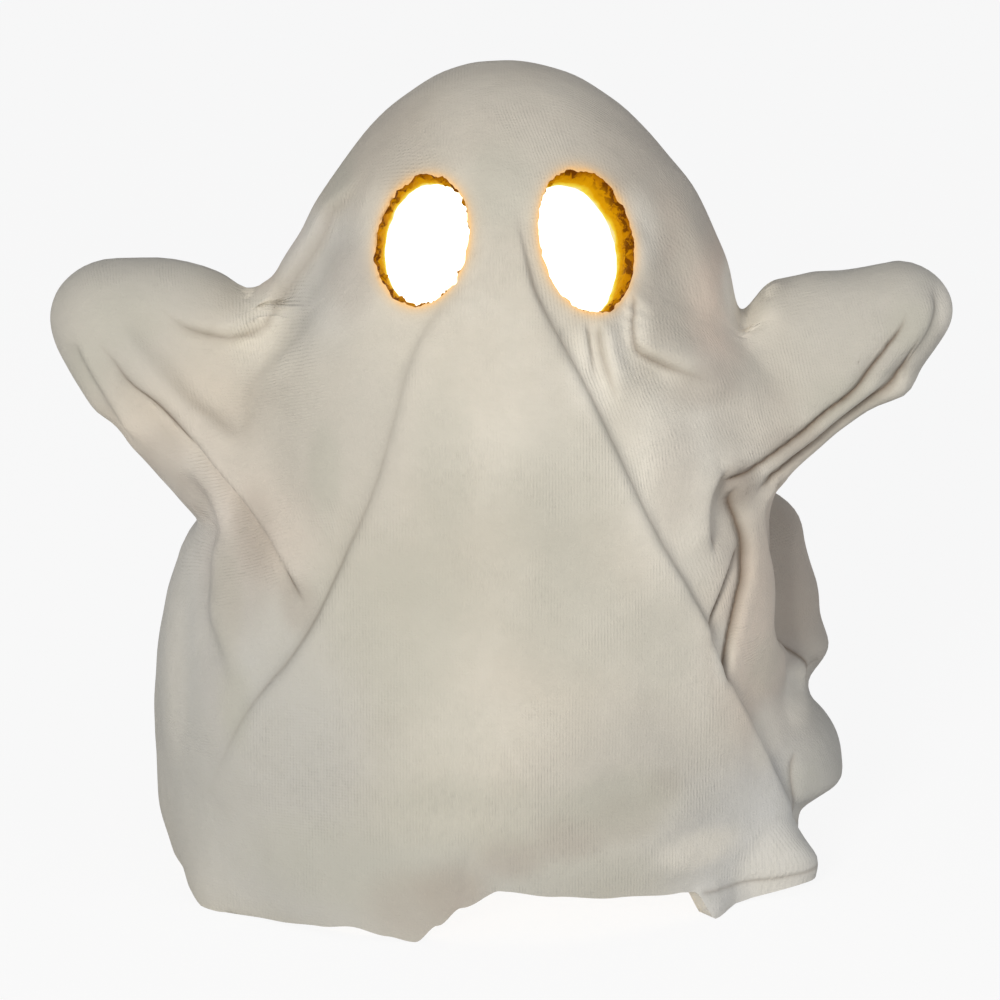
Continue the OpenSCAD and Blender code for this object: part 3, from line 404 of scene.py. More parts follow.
@dataclass
class GhostForm:
    """The smooth body under the drape, joined from rods and eggs, in millimetres."""

    height: float = 181.0
    half_span: float = 100.0
    skirt_half_depth: float = 59.0
    crown_r: float = 36.0
    head_r: float = 46.25
    chest_r: float = 57.0
    skirt_r: float = 67.0
    arm_r: float = 14.2
    head_flat: float = 84 / 92.5
    skirt_flat: float = 118 / 134
    head_wall: float = 6.5
    hem_wall: float = 3.2
    wall_full_share: float = 0.7
    blend_wide: float = 16.0
    blend_body: float = 8.0
    blend_arm: float = 9.0
    blend_lobe: float = 5.0
    halvings: int = 16

    def place(self, x: float, y: float, z: float) -> tuple[float, float, float]:
        """Turns shares of the half span, the skirt's half depth and the height into a place."""
        return (x * self.half_span, y * self.skirt_half_depth, z * self.height)

    def distance(self, p: np.ndarray) -> np.ndarray:
        """Measures the distance to the smooth body.

        Args:
            p: Places, one a row.

        Returns:
            The distance at each place, below zero inside the body.
        """
        span, height, arm = self.half_span, self.height, self.arm_r
        crown = (0.012 * span, 0, height - self.crown_r)
        head, chest = self.place(0.018, 0, 0.713), self.place(0.01, 0, 0.564)
        skirt = self.place(-0.015, 0.02, 0.088)
        left_web = (self.place(-0.82, -0.05, 0.605), self.place(-0.56, -0.08, 0.514))
        right_web = (self.place(0.865, -0.03, 0.651), self.place(0.565, -0.07, 0.569))
        right_r = 0.87 * arm
        left_arm = (self.place(-0.62, 0, 0.657), (arm - span, 0, 0.676 * height))
        right_arm = (self.place(0.66, 0, 0.653), (span - right_r, 0, 0.688 * height))
        left_belly = (self.place(-0.42, 0.034, 0.188), self.place(0.36, 0.8, 0.365))
        back_lobe = (self.place(0.4, 0.46, 0.271), self.place(0.355, 0.44, 0.182))
        low_lobe = (self.place(0.5, 0.1, 0.124), self.place(0.273, 0.51, 0.099))
        forms = (
            (rod(p, head, chest, self.head_r, self.chest_r, self.head_flat), self.blend_lobe),
            (rod(p, chest, skirt, self.chest_r, self.skirt_r, self.skirt_flat), self.blend_body),
            (rod(p, *left_web, 0.6 * arm, 1.21 * arm), self.blend_wide),
            (rod(p, *right_web, 0.35 * arm, arm), self.blend_wide),
            (rod(p, *left_arm, arm, arm), self.blend_arm),
            (rod(p, *right_arm, right_r, right_r), self.blend_arm),
            (egg(p, *left_belly), self.blend_body),
            (egg(p, *back_lobe), self.blend_lobe),
            (egg(p, *low_lobe), self.blend_lobe),
        )
        body = rod(p, crown, head, self.crown_r, self.head_r, self.head_flat)
        for form, rounding in forms:
            body = join(body, form, rounding)
        return body

    def slope(self, p: np.ndarray) -> np.ndarray:
        """Gives the outward direction of the body at each place.

        Args:
            p: Places, one a row.

        Returns:
            The directions, of length 1.
        """
        step = np.eye(3) * self.hem_wall / 10
        rise = [self.distance(p + s) - self.distance(p - s) for s in step]
        n = np.stack(rise, axis=1)
        return n / np.linalg.norm(n, axis=1, keepdims=True)

    def wall(self, z: np.ndarray) -> np.ndarray:
        """Gives the thickness of the wall at each height."""
        return mix(self.hem_wall, self.head_wall, ease(z / (self.wall_full_share * self.height)))

    def seek(self, start: np.ndarray, run: np.ndarray, reach: float, thin: float) -> np.ndarray:
        """Finds where rays leave the body.

        Args:
            start: Starts of the rays, inside the body.
            run: Their directions, of length 1.
            reach: How far to look.
            thin: 0 for the outer surface, 1 for the inner one.

        Returns:
            The points on the surface.
        """
        near, far = np.zeros(len(start)), np.full(len(start), reach)
        for _ in range(self.halvings):
            middle = (near + far) / 2
            q = start + run * middle[:, None]
            inside = self.distance(q) + thin * self.wall(q[:, 2]) < 0
            near, far = np.where(inside, middle, near), np.where(inside, far, middle)
        return start + run * ((near + far) / 2)[:, None]


@dataclass
class Grid:
    """Counts of the shell's grid, closer together on the front than on the back."""

    cols: int = 384
    rows: int = 160
    front_gather: float = 0.35
    fan_share: float = 0.42
    eye_col: int = 46
    eye_row: int = 40
    eye_half: tuple[int, int] = (22, 16)
    eye_ease: float = 1.75

    def angle(self, col: np.ndarray) -> np.ndarray:
        """Gives the angle from the front, in degrees, at which a column runs."""
        u = col / self.cols
        return 360 * (u - self.front_gather * np.sin(2 * math.pi * u) / (2 * math.pi))

    def side(self, col: np.ndarray) -> np.ndarray:
        """Tells the left half of the columns, -1, from the right half, 1."""
        return np.where(col > self.cols / 2, -1, 1)

    def eye_cells(self, col: np.ndarray, row: np.ndarray) -> tuple[np.ndarray, np.ndarray]:
        """Places grid points relative to their eye hole.

        Args:
            col: Columns, counted from the front.
            row: Rows, counted from the crown.

        Returns:
            The places across and up the eye, where 1 is the ring that becomes its edge.
        """
        near = np.where(col > self.cols / 2, col - self.cols, col)
        across = (near - self.side(col) * self.eye_col) / self.eye_half[0]
        return across, (self.eye_row - row) / self.eye_half[1]


@dataclass
class Eyes:
    """The two eye holes, in millimetres and degrees."""

    width: float = 19.2
    height: float = 27.8
    pitch: float = 34.6
    middle_z: float = 147.8
    pinch: float = 0.05
    lean: float = 18.5
    drop: float = 2.8
    draw: float = 2.6
    ragged: float = 0.22
    shift: float = 0.9
    taller_right: float = 1.4
    drop_right: float = 0.6
    draw_right: float = 0.9

    def spot(
        self, across: np.ndarray, up: np.ndarray, side: np.ndarray, thin: float
    ) -> tuple[np.ndarray, np.ndarray]:
        """Places a ring point round an eye hole, seen from the front.

        Args:
            across: Place across the eye, 1 at its edge.
            up: Place up the eye, 1 at its edge.
            side: -1 for the left eye, 1 for the right one.
            thin: 0 for the outer surface, 1 for the inner one.

        Returns:
            The x and the height of each point.
        """
        q, a = np.maximum(abs(across), abs(up)), np.arctan2(up, across)
        x = q * self.width / 2 * np.cos(a)
        z = q * self.tall(side) / 2 * np.sin(a) * (1 - self.pinch * thin)
        lean = np.radians(side * self.lean)
        in_x = thin * (self.draw + side * self.draw_right)
        in_z = thin * (self.drop + side * self.drop_right)
        x_at = self.middle_x(side) - side * in_x + x * np.cos(lean) - z * np.sin(lean)
        return x_at, self.middle_z - in_z + x * np.sin(lean) + z * np.cos(lean)

    def middle_x(self, side: np.ndarray) -> np.ndarray:
        """Gives how far an eye's middle lies to the right of the ghost's."""
        return side * self.pitch / 2 + self.shift

    def tall(self, side: np.ndarray) -> np.ndarray:
        """Gives the height of an eye: the right one is the taller one."""
        return self.height + side * self.taller_right

    def gap(self, p: np.ndarray) -> np.ndarray:
        """Measures how far places on the face lie outside the nearer eye hole's edge.

        Args:
            p: Places, one a row.

        Returns:
            The gaps, below zero inside a hole.
        """
        side = np.where(p[:, 0] < 0, -1, 1)
        lean = np.radians(side * self.lean)
        x, z = p[:, 0] - self.middle_x(side), p[:, 2] - self.middle_z
        across = (x * np.cos(lean) + z * np.sin(lean)) / (self.width / 2)
        up = (z * np.cos(lean) - x * np.sin(lean)) / (self.tall(side) / 2)
        q = np.hypot(across, up)
        return (1 - 1 / np.maximum(q, 1e-6)) * np.hypot(x, z)


@dataclass
class Hem:
    """The lower edge of the cloth: how it lifts off the table, and the corners that stand out."""

    lift: float = 11.5
    lift_shares: tuple[tuple[float, float], ...] = (
        (-180, 0), (-150, 0.13), (-120, 0.26), (-90, 0.3), (-75, 0.35), (-68, 0.17), (-62, 0),
        (-50, 0.04), (-40, 0.13), (-32, 0.22), (-24, 0.09), (-18, 0), (-13, 0.35), (-8, 0.7), (0, 1),
        (12, 0.87), (25, 0.74), (40, 0.6), (44, 0.55), (50, 0), (58, 0.04), (68, 0.2), (79, 0.24),
        (89, 0.6), (95, 0.7), (110, 0.52), (130, 0.17), (150, 0), (180, 0),
    )
    corners: tuple[tuple[float, float, float, float], ...] = (
        (-63, 8, 5.5, 26), (-18, 13, 2.2, 34), (68, 7, 4.5, 30), (49, 6, 1.0, 16),
    )

    def z(self, angle: np.ndarray) -> np.ndarray:
        """Gives the height of the hem.

        Args:
            angle: Angles from the front.

        Returns:
            The height at each angle.
        """
        turns, shares = np.array(self.lift_shares, float).T
        a = (angle + 540) % 360 - 180
        k = np.clip(np.searchsorted(turns, a, side="right") - 1, 0, len(turns) - 2)
        along = ease((a - turns[k]) / (turns[k + 1] - turns[k]))
        return self.lift * mix(shares[k], shares[k + 1], along)

    def push(self, angle: np.ndarray, z: np.ndarray) -> np.ndarray:
        """Gives how far the corners of the cloth stand out.

        Args:
            angle: Angles from the front.
            z: Heights.

        Returns:
            The reach of the corners at each place.
        """
        out = np.zeros(len(z))
        for at, width, reach, top in self.corners:
            a = (angle - at + 540) % 360 - 180
            out += reach * np.exp(-((a / width) ** 2)) * ease(1 - z / top)
        return out


class Part(Enum):
    """The three finishes on the ghost's shell, in the order of its material slots."""

    SKIN = 0
    RIM = 1
    LINING = 2


@dataclass
class Lines:
    """The crease lines near each point, in three layers: signed gaps in millimetres, and forces, which
    set the grooves and the painted shade along them.
    """

    gaps: np.ndarray
    forces: np.ndarray

    def add(self, at: np.ndarray, layer: int, gaps: np.ndarray, forces: np.ndarray) -> None:
        """Keeps one crease in its layer wherever it is the nearest.

        Args:
            at: Numbers of the points near the crease.
            layer: The layer, from 0 to 2.
            gaps: Their signed gaps to the crease line.
            forces: How strong the line is there, from 0 to 1.
        """
        nearer = abs(gaps) < abs(self.gaps[at, layer])
        self.gaps[at[nearer], layer] = gaps[nearer]
        self.forces[at[nearer], layer] = forces[nearer]


@dataclass
class Skin:
    """Points of the outer surface with what the finish needs to know about them."""

    points: np.ndarray
    slopes: np.ndarray
    rises: np.ndarray
    marks: np.ndarray
    lines: Lines | None = None

    def pick(self, ids: np.ndarray) -> "Skin":
        """Picks some of the points, without their crease lines."""
        return Skin(self.points[ids], self.slopes[ids], self.rises[ids], self.marks[ids])


def write_mark(mesh: bpy.types.Mesh, name: str, values: np.ndarray) -> None:
    """Keeps a number or a vector for each point of a mesh, for the finishes to read.

    Args:
        mesh: The mesh.
        name: The attribute's name.
        values: One value a point.
    """
    kind, key = ("FLOAT", "value") if values.ndim == 1 else ("FLOAT_VECTOR", "vector")
    made = mesh.attributes.new(name, kind, "POINT")
    made.data.foreach_set(key, values.astype(np.float32).ravel())


@dataclass
class GhostShell:
    """The one-piece ceramic ghost: draped skin, lining, eye rims and hem, in millimetres."""

    form: GhostForm = field(default_factory=GhostForm)
    grid: Grid = field(default_factory=Grid)
    eyes: Eyes = field(default_factory=Eyes)
    hem: Hem = field(default_factory=Hem)
    creases: tuple[Crease, ...] = CREASES
    swells: tuple[Swell, ...] = SWELLS
    pulls: tuple[Pull, ...] = PULLS
    crease_reach: float = 22.0
    front_turn: float = 0.12
    front_blend: float = 4.0
    flute_h: float = 1.9
    flute_top_share: float = 0.69
    flute_fade_share: float = 0.6
    flutes: tuple[tuple[int, float, float], ...] = ((7, 0.8, 1.0), (12, 2.0, 0.5))
    spine_x: float = 62.0
    spine_z: float = 120.0
    spine_end_z: float = 76.0
    reach: float = 95.0
    rim_steps: int = 8
    rim_crumble: float = 0.55
    rim_crumbs: tuple[tuple[int, float, int, float], ...] = ((20, 3.0, 12, 1.0), (30, 1.3, 20, 0.8))
    rim_swell_from: float = 1.6
    tear: tuple[int, float] = (11, 3.2)
    fine_tear: tuple[int, float] = (12, 1.5)
    fine_tear_share: float = 0.6
    tear_reach: float = 0.07
    tear_inside_share: float = 0.4
    halo_reach: float = 1.3
    hand_ripple: float = 0.16
    hand_ripples: tuple[tuple[int, float, float], ...] = ((3, 26.0, 1.0), (4, 9.0, 0.5))
    sharp_edge: float = 52.0

    def rays(self, col: np.ndarray, row: np.ndarray) -> tuple[np.ndarray, np.ndarray]:
        """Aims one ray at each grid place, from a spine that runs out along the arms.

        Args:
            col: Columns, counted from the front.
            row: Rows, counted from the crown.

        Returns:
            The starts and the directions of the rays.
        """
        angle, t, fan = self.grid.angle(col), row / self.grid.rows, self.grid.fan_share
        a, e = np.radians(angle), math.pi / 2 * np.minimum(t / fan, 1)
        run = np.stack([np.sin(e) * np.sin(a), -np.sin(e) * np.cos(a), np.cos(e)], axis=1)
        down = np.maximum(t - fan, 0) / (1 - fan)
        z = mix(self.spine_z, self.hem.z(angle), down)
        out = ease((z - self.spine_end_z) / (self.spine_z - self.spine_end_z))
        start = np.stack([self.spine_x * run[:, 0] * abs(run[:, 0]) * out, 0 * z, z], axis=1)
        return start, run

    def smooth_points(self, col: np.ndarray, row: np.ndarray, thin: float) -> np.ndarray:
        """Finds the points of the undraped surface, with the grid drawn round the eye holes.

        Args:
            col: Columns, counted from the front.
            row: Rows, counted from the crown.
            thin: 0 for the outer surface, 1 for the inner one.

        Returns:
            The points.
        """
        p = self.form.seek(*self.rays(col, row), self.reach, thin)
        across, up = self.grid.eye_cells(col, row)
        q = np.maximum(abs(across), abs(up))
        near = q < self.grid.eye_ease
        side = self.grid.side(col)[near]
        x, z = self.eyes.spot(across[near], up[near], side, thin)
        torn = ripple(np.stack([x, 0 * x, z], axis=1), *self.tear)
        torn += self.fine_tear_share * ripple(np.stack([x, z, x], axis=1), *self.fine_tear)
        edge = self.eyes.ragged * mix(1, self.tear_inside_share, thin) * torn
        edge *= np.exp(-(((q[near] - 1) / self.tear_reach) ** 2))
        out = np.stack([x - self.eyes.middle_x(side), z - self.eyes.middle_z], axis=1)
        out /= np.maximum(np.linalg.norm(out, axis=1, keepdims=True), 1e-6)
        f = ease((self.grid.eye_ease - q[near]) / (self.grid.eye_ease - 1))
        at = np.zeros((len(f), 3))
        at[:, 0] = mix(p[near, 0], x + edge * out[:, 0], f)
        at[:, 2] = mix(p[near, 2], z + edge * out[:, 1], f)
        run = np.tile([0.0, -1.0, 0.0], (len(at), 1))
        p[near] = self.form.seek(at, run, self.form.skirt_r, thin)
        return p

    def drape(
        self, p: np.ndarray, n: np.ndarray, angle: np.ndarray
    ) -> tuple[np.ndarray, Lines, np.ndarray]:
        """Adds up the creases, swells, flutes and corners of the cloth.

        Args:
            p: Points of the smooth surface.
            n: Their outward directions.
            angle: Their angles from the front.

        Returns:
            The rise, the crease lines near each point, and the mask of the front panel.
        """
        facing = share01((self.front_turn - n[:, 1]) * self.front_blend)
        rise, panel = np.zeros(len(p)), np.ones(len(p))
        lines = Lines(np.full((len(p), 3), GAP_FAR), np.zeros((len(p), 3)))
        layers = self.crease_layers()
        q = p[:, [0, 2]]
        for number, crease in enumerate(self.creases):
            pts = np.array(crease.points)
            low, high = pts.min(0) - self.crease_reach, pts.max(0) + self.crease_reach
            near = (facing > 0) & (q > low).all(1) & (q < high).all(1)
            up, force, signed = crease.rise(q[near])
            rise[near] += up * facing[near]
            lines.add(np.flatnonzero(near), layers[number], signed, force * facing[near])
            if crease.name in PANEL_SIDES:
                inward = PANEL_SIDES[crease.name]
                panel[near] *= ease(0.5 + inward * signed / 2)
                panel[~near] *= inward * (q[~near, 0] - pts[:, 0].mean()) > 0
        for swell in self.swells:
            away = ((q - np.array(swell.at)) / np.array(swell.half)) ** 2
            rise += swell.height * np.exp(-away.sum(1)) * facing
        a = np.radians(angle)
        up_share = p[:, 2] / self.form.height
        fade = share01(2 * n[:, 1]) * ease((self.flute_top_share - up_share) / self.flute_fade_share)
        flutes = sum(share * np.cos(count * a + turn) for count, turn, share in self.flutes)
        rise += fade * self.flute_h * flutes
        rise += self.hem.push(angle, p[:, 2])
        hand = sum(share * ripple(p, seed, pitch) for seed, pitch, share in self.hand_ripples)
        rise += self.hand_ripple * hand
        if len(p) == 1 + self.grid.rows * self.grid.cols:
            rise = self.soften(rise)
        return np.maximum(rise, -self.form.wall(p[:, 2]) / 2), lines, panel

    def crease_layers(self) -> list[int]:
        """Shares the creases out over three layers, so that close neighbours lie in different ones.

        Returns:
            The layer of each crease.
        """
        paths = [smooth_line(crease.points) for crease in self.creases]
        layers: list[int] = []
        for number, path in enumerate(paths):
            room = np.full(3, np.inf)
            for other, layer in zip(paths[:number], layers):
                gap = np.linalg.norm(path[:, None] - other[None], axis=2).min()
                room[layer] = min(room[layer], gap)
            layers.append(int(room.argmax()))
        return layers

    def soften(self, rise: np.ndarray) -> np.ndarray:
        """Evens out a value between neighbours on the grid, so that no step shows.

        Args:
            rise: One value a point of the outer surface, the crown first.

        Returns:
            The values, evened out.
        """
        cloth = rise[1:].reshape(self.grid.rows, self.grid.cols)
        around = (np.roll(cloth, 1, axis=1) + np.roll(cloth, -1, axis=1)) / 2
        cloth = (cloth + around) / 2
        above = np.vstack([cloth[:1], cloth[:-1]])
        below = np.vstack([cloth[1:], cloth[-1:]])
        return np.append(rise[0], ((above + below) / 4 + cloth / 2).ravel())

    def pulled(self, p: np.ndarray) -> np.ndarray:
        """Adds up the moves of all pulls at each place."""
        return sum(pull.moves(p) for pull in self.pulls)

    def skin(self, col: np.ndarray, row: np.ndarray) -> Skin:
        """Makes the outer surface at grid places.

        Args:
            col: Columns, counted from the front.
            row: Rows, counted from the crown.

        Returns:
            The points with their slopes, rises and marks.
        """
        angle = self.grid.angle(col)
        p = self.smooth_points(col, row, 0)
        n = self.form.slope(p)
        rise, lines, panel = self.drape(p, n, angle)
        w = p + n * rise[:, None] + self.pulled(p)
        w[:, 2] = np.where(row == self.grid.rows, self.hem.z(angle), np.maximum(w[:, 2], 0))
        # How strong the painted glow round the eye holes is, on the front
        halo = np.exp(-np.maximum(self.eyes.gap(p), 0) / self.halo_reach) * (n[:, 1] < 0)
        return Skin(w, n, rise, np.stack([halo, panel, 0 * halo], axis=1), lines)

    def lining(self, col: np.ndarray, row: np.ndarray, skin: Skin) -> np.ndarray:
        """Makes the inner surface, which follows hollows and fills half of each ridge.

        Args:
            col: Columns, counted from the front.
            row: Rows, counted from the crown.
            skin: The outer surface at the same grid places.

        Returns:
            The points.
        """
        p = self.smooth_points(col, row, 1)
        rise = np.where(skin.rises < 0, skin.rises, skin.rises / 2)
        w = p + skin.slopes * rise[:, None] + self.pulled(p)
        w[:, 2] = np.where(row == self.grid.rows, skin.points[:, 2], np.maximum(w[:, 2], 0))
        return w

    def ids(self, col: np.ndarray, row: np.ndarray, step: int) -> np.ndarray:
        """Numbers the grid points of a surface that has every step-th column and row."""
        cols = self.grid.cols // step
        return np.where(row == 0, 0, 1 + (row // step - 1) * cols + (col % self.grid.cols) // step)

    def places(self, step: int) -> tuple[np.ndarray, np.ndarray]:
        """Lists the columns and rows of a surface's points, the crown first."""
        row, col = np.mgrid[step : self.grid.rows + 1 : step, 0 : self.grid.cols : step]
        return np.append(0, col.ravel()), np.append(0, row.ravel())

    def sheet_faces(self, points: np.ndarray, step: int) -> np.ndarray:
        """Joins a surface's points to triangles, except over the eye holes.

        Args:
            points: The surface's points, the crown first.
            step: Columns and rows from one point to the next.

        Returns:
            The triangles, which face outwards.
        """
        row, col = np.mgrid[step : self.grid.rows : step, 0 : self.grid.cols : step]
        row, col = row.ravel(), col.ravel()
        across, up = self.grid.eye_cells((col + step / 2) % self.grid.cols, row + step / 2)
        solid = (abs(across) >= 1) | (abs(up) >= 1)
        row, col = row[solid], col[solid]
        a, b = self.ids(col, row, step), self.ids(col, row + step, step)
        c, d = self.ids(col + step, row + step, step), self.ids(col + step, row, step)
        a_to_c = np.linalg.norm(points[a] - points[c], axis=1)
        b_to_d = np.linalg.norm(points[b] - points[d], axis=1)
        one_way = (a_to_c < b_to_d)[:, None]
        first = np.where(one_way, np.stack([a, b, c], 1), np.stack([a, b, d], 1))
        second = np.where(one_way, np.stack([a, c, d], 1), np.stack([b, c, d], 1))
        rim = np.arange(0, self.grid.cols, step)
        ones = np.full(len(rim), step)
        crown = np.stack([0 * rim, self.ids(rim, ones, step), self.ids(rim + step, ones, step)], 1)
        return np.vstack([crown, first, second])

    def eye_ring(self, side: int) -> tuple[np.ndarray, np.ndarray]:
        """Lists the grid places round one eye hole, clockwise seen from the front.

        Args:
            side: -1 for the left eye, 1 for the right one.

        Returns:
            The columns and the rows.
        """
        w, h = self.grid.eye_half
        across = (np.arange(-w, w), np.full(2 * h, w), np.arange(w, -w, -1), np.full(2 * h, -w))
        down = (np.full(2 * w, -h), np.arange(-h, h), np.full(2 * w, h), np.arange(h, -h, -1))
        col = side * self.grid.eye_col + np.concatenate(across)
        return col, self.grid.eye_row + np.concatenate(down)

    def rim(self, outer: np.ndarray, inner: np.ndarray, side: int) -> np.ndarray:
        """Fills the wall of an eye hole with crumbly rings of points.

        Args:
            outer: The ring on the outer surface.
            inner: The ring on the inner surface.
            side: -1 for the left eye, 1 for the right one.

        Returns:
            The points between the two rings, ring by ring.
        """
        rings = []
        for step in range(1, self.rim_steps):
            depth = step / self.rim_steps
            ring = mix(outer, inner, depth)
            to_middle = ring.mean(0) - ring
            to_middle /= np.linalg.norm(to_middle, axis=1, keepdims=True)
            crumbs = sum(
                share * ripple(ring, seed + side, pitch, waves)
                for seed, pitch, waves, share in self.rim_crumbs
            )
            swell = self.rim_crumble * crumbs * math.sin(math.pi * min(self.rim_swell_from * depth, 1))
            rings.append(ring + to_middle * swell[:, None])
        return np.vstack(rings)

    def build(self) -> bpy.types.Object:
        """Builds the shell as one closed mesh and marks its points and faces for the finishes.

        Returns:
            The finished object, without materials.
        """
        col, row = self.places(1)
        skin = self.skin(col, row)
        half = self.places(2)
        lining = self.lining(*half, skin.pick(self.ids(*half, 1)))
        points = [skin.points, lining]
        depth = [np.zeros(len(skin.points)), np.ones(len(lining))]
        first_inner = len(skin.points)
        faces = {
            Part.SKIN: [self.sheet_faces(skin.points, 1), self.hem_faces(first_inner)],
            Part.LINING: [self.sheet_faces(lining, 2)[:, ::-1] + first_inner],
            Part.RIM: [],
        }
        for side in (-1, 1):
            ring_col, ring_row = self.eye_ring(side)
            outer = self.ids(ring_col, ring_row, 1)
            inner_points = self.lining(ring_col % self.grid.cols, ring_row, skin.pick(outer))
            inner = first_inner + self.ids(ring_col[::2], ring_row[::2], 2)
            first_rim = sum(len(p) for p in points)
            points.append(self.rim(skin.points[outer], inner_points, side))
            depth.append(np.repeat(np.arange(1, self.rim_steps) / self.rim_steps, len(outer)))
            rings = first_rim + np.arange((self.rim_steps - 1) * len(outer))
            loops = [outer, *rings.reshape(-1, len(outer))]
            for a, b in zip(loops[:-1], loops[1:]):
                a_next, b_next = np.roll(a, -1), np.roll(b, -1)
                faces[Part.RIM] += [np.stack([a, a_next, b_next], 1), np.stack([a, b_next, b], 1)]
            a, b, c = loops[-1][::2], loops[-1][1::2], np.roll(loops[-1][::2], -1)
            faces[Part.RIM].append(self.stitch(a, b, c, inner, np.roll(inner, -1)))
        return self.make_object(np.vstack(points), np.concatenate(depth), skin, faces)

    def stitch(
        self, a: np.ndarray, b: np.ndarray, c: np.ndarray, inner_a: np.ndarray, inner_c: np.ndarray
    ) -> np.ndarray:
        """Joins two steps of a fine ring, a to b to c, to one step of a coarse ring.

        Args:
            a: Points of the fine ring where the steps start.
            b: Points of the fine ring between the two steps.
            c: Points of the fine ring where the steps end.
            inner_a: Points of the coarse ring opposite a.
            inner_c: Points of the coarse ring opposite c.

        Returns:
            The triangles, three for each step of the coarse ring.
        """
        triangles = ([a, b, inner_a], [b, c, inner_c], [b, inner_c, inner_a])
        return np.vstack([np.stack(corners, 1) for corners in triangles])

    def hem_faces(self, first_inner: int) -> np.ndarray:
        """Closes the hem between the outer surface and the lining.

        Args:
            first_inner: Number of the lining's first point.

        Returns:
            The triangles.
        """
        col = np.arange(0, self.grid.cols, 2)
        row = np.full(len(col), self.grid.rows)
        a, b, c = (self.ids(col + k, row, 1) for k in range(3))
        inner_a, inner_c = (first_inner + self.ids(col + k, row, 2) for k in (0, 2))
        return self.stitch(a, b, c, inner_a, inner_c)[:, ::-1]

    def make_object(
        self, points: np.ndarray, depth: np.ndarray, skin: Skin, faces: dict[Part, list[np.ndarray]]
    ) -> bpy.types.Object:
        """Turns points and triangles into a Blender object.

        Args:
            points: All points, the outer surface first.
            depth: How deep each point lies in an eye rim, from 0 outside to 1 inside.
            skin: The outer surface, for its marks.
            faces: The triangles of each part.

        Returns:
            The object, with one material number a face.
        """
        triangles = np.vstack([np.vstack(faces[part]) for part in Part])
        parts = np.concatenate([np.full(sum(map(len, faces[part])), part.value) for part in Part])
        used, triangles = np.unique(triangles, return_inverse=True)
        outside = {
            # The painted glow round the eyes with the front panel's mask, the cloth's run and the
            # crease lines
            "drape_marks": skin.marks,
            "cloth_run": skin.slopes**2,
            "crease_gaps": skin.lines.gaps,
            "crease_forces": skin.lines.forces,
        }
        inside = np.zeros((len(points) - len(skin.points), 3))
        marks = {name: np.vstack([values, inside])[used] for name, values in outside.items()}
        # The patches' tints with painted light and shade
        marks["clay_patches"], marks["patch_share"] = tints_and_painted_shade(points[used])
        marks["rim_depth"] = depth[used]
        mesh = bpy.data.meshes.new("ghost_drape")
        mesh.from_pydata((points[used] * MM).tolist(), [], triangles.reshape(-1, 3).tolist())
        mesh.polygons.foreach_set("material_index", parts.astype(np.int32))
        for name, values in marks.items():
            write_mark(mesh, name, values)
        shell = bpy.data.objects.new("ghost_drape", mesh)
        bpy.context.scene.collection.objects.link(shell)
        select_only(shell)
        bpy.ops.object.shade_smooth_by_angle(angle=math.radians(self.sharp_edge))
        return shell

    def dress(
        self, shell: bpy.types.Object, skin: "ClayFinish", rim: "RimFinish", lining: "LiningFinish"
    ) -> None:
        """Gives the shell its three finishes and ties it to the CAD frame.

        Args:
            shell: The shell's object.
            skin: Finish of the outer surface.
            rim: Finish of the eye rims.
            lining: Finish of the lit inside.
        """
        for finish in (skin, rim, lining):
            shell.data.materials.append(finish.material())
        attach(shell, "ghost")
        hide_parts("ghost_shell")


def select_only(piece: bpy.types.Object) -> None:
    """Makes one object the only selected one, and the active one.

    Args:
        piece: The object.
    """
    bpy.ops.object.select_all(action="DESELECT")
    piece.select_set(True)
    bpy.context.view_layer.objects.active = piece


def operation(name: str, turned: bool = False) -> Callable[..., "Value"]:
    """Makes a method of Value that adds one Math node.

    Args:
        name: What the node does.
        turned: Whether the value itself comes last, as in 1 - value.

    Returns:
        The method, which takes the other numbers and gives the result.
    """

    def method(value: "Value", *others: "Value | float") -> "Value":
        """Adds the node behind the value."""
        numbers = (*others, value) if turned else (value, *others)
        return value.tree.math(name, *numbers)

    return method


@dataclass(frozen=True)
class Value:
    """A number among nodes, on which arithmetic adds Math nodes."""

    tree: "Tree"
    socket: bpy.types.NodeSocket

    __add__ = operation("ADD")
    __radd__ = operation("ADD", turned=True)
    __sub__ = operation("SUBTRACT")
    __rsub__ = operation("SUBTRACT", turned=True)
    __mul__ = operation("MULTIPLY")
    __rmul__ = operation("MULTIPLY", turned=True)
    __truediv__ = operation("DIVIDE")
    __rtruediv__ = operation("DIVIDE", turned=True)
    __pow__ = operation("POWER")
    sin = operation("SINE")
    size = operation("ABSOLUTE")
    at_least = operation("MAXIMUM")
    at_most = operation("MINIMUM")

    def ramp(self, low: float, high: float) -> "Value":
        """Runs smoothly from 0 at low to 1 at high.

        Args:
            low: The number that gives 0.
            high: The number that gives 1.

        Returns:
            The share, between 0 and 1.
        """
        node = self.tree.node(
            "ShaderNodeMapRange",
            {"interpolation_type": "SMOOTHSTEP"},
            {"Value": self, "From Min": low, "From Max": high},
        )
        return Value(self.tree, node.outputs["Result"])

    def bumps(self, height: float) -> "Value":
        """Turns a pattern round 0.5 into a relief in metres, as high as given in millimetres."""
        return (self - 0.5) * (height * MM)


Colour = tuple[float, float, float, float] | bpy.types.NodeSocket
Stops = Sequence[tuple[float, tuple[float, float, float, float]]]
# The middle and the half sizes of an egg-shaped region, in millimetres
Region = tuple[tuple[float, float, float], tuple[float, float, float]]


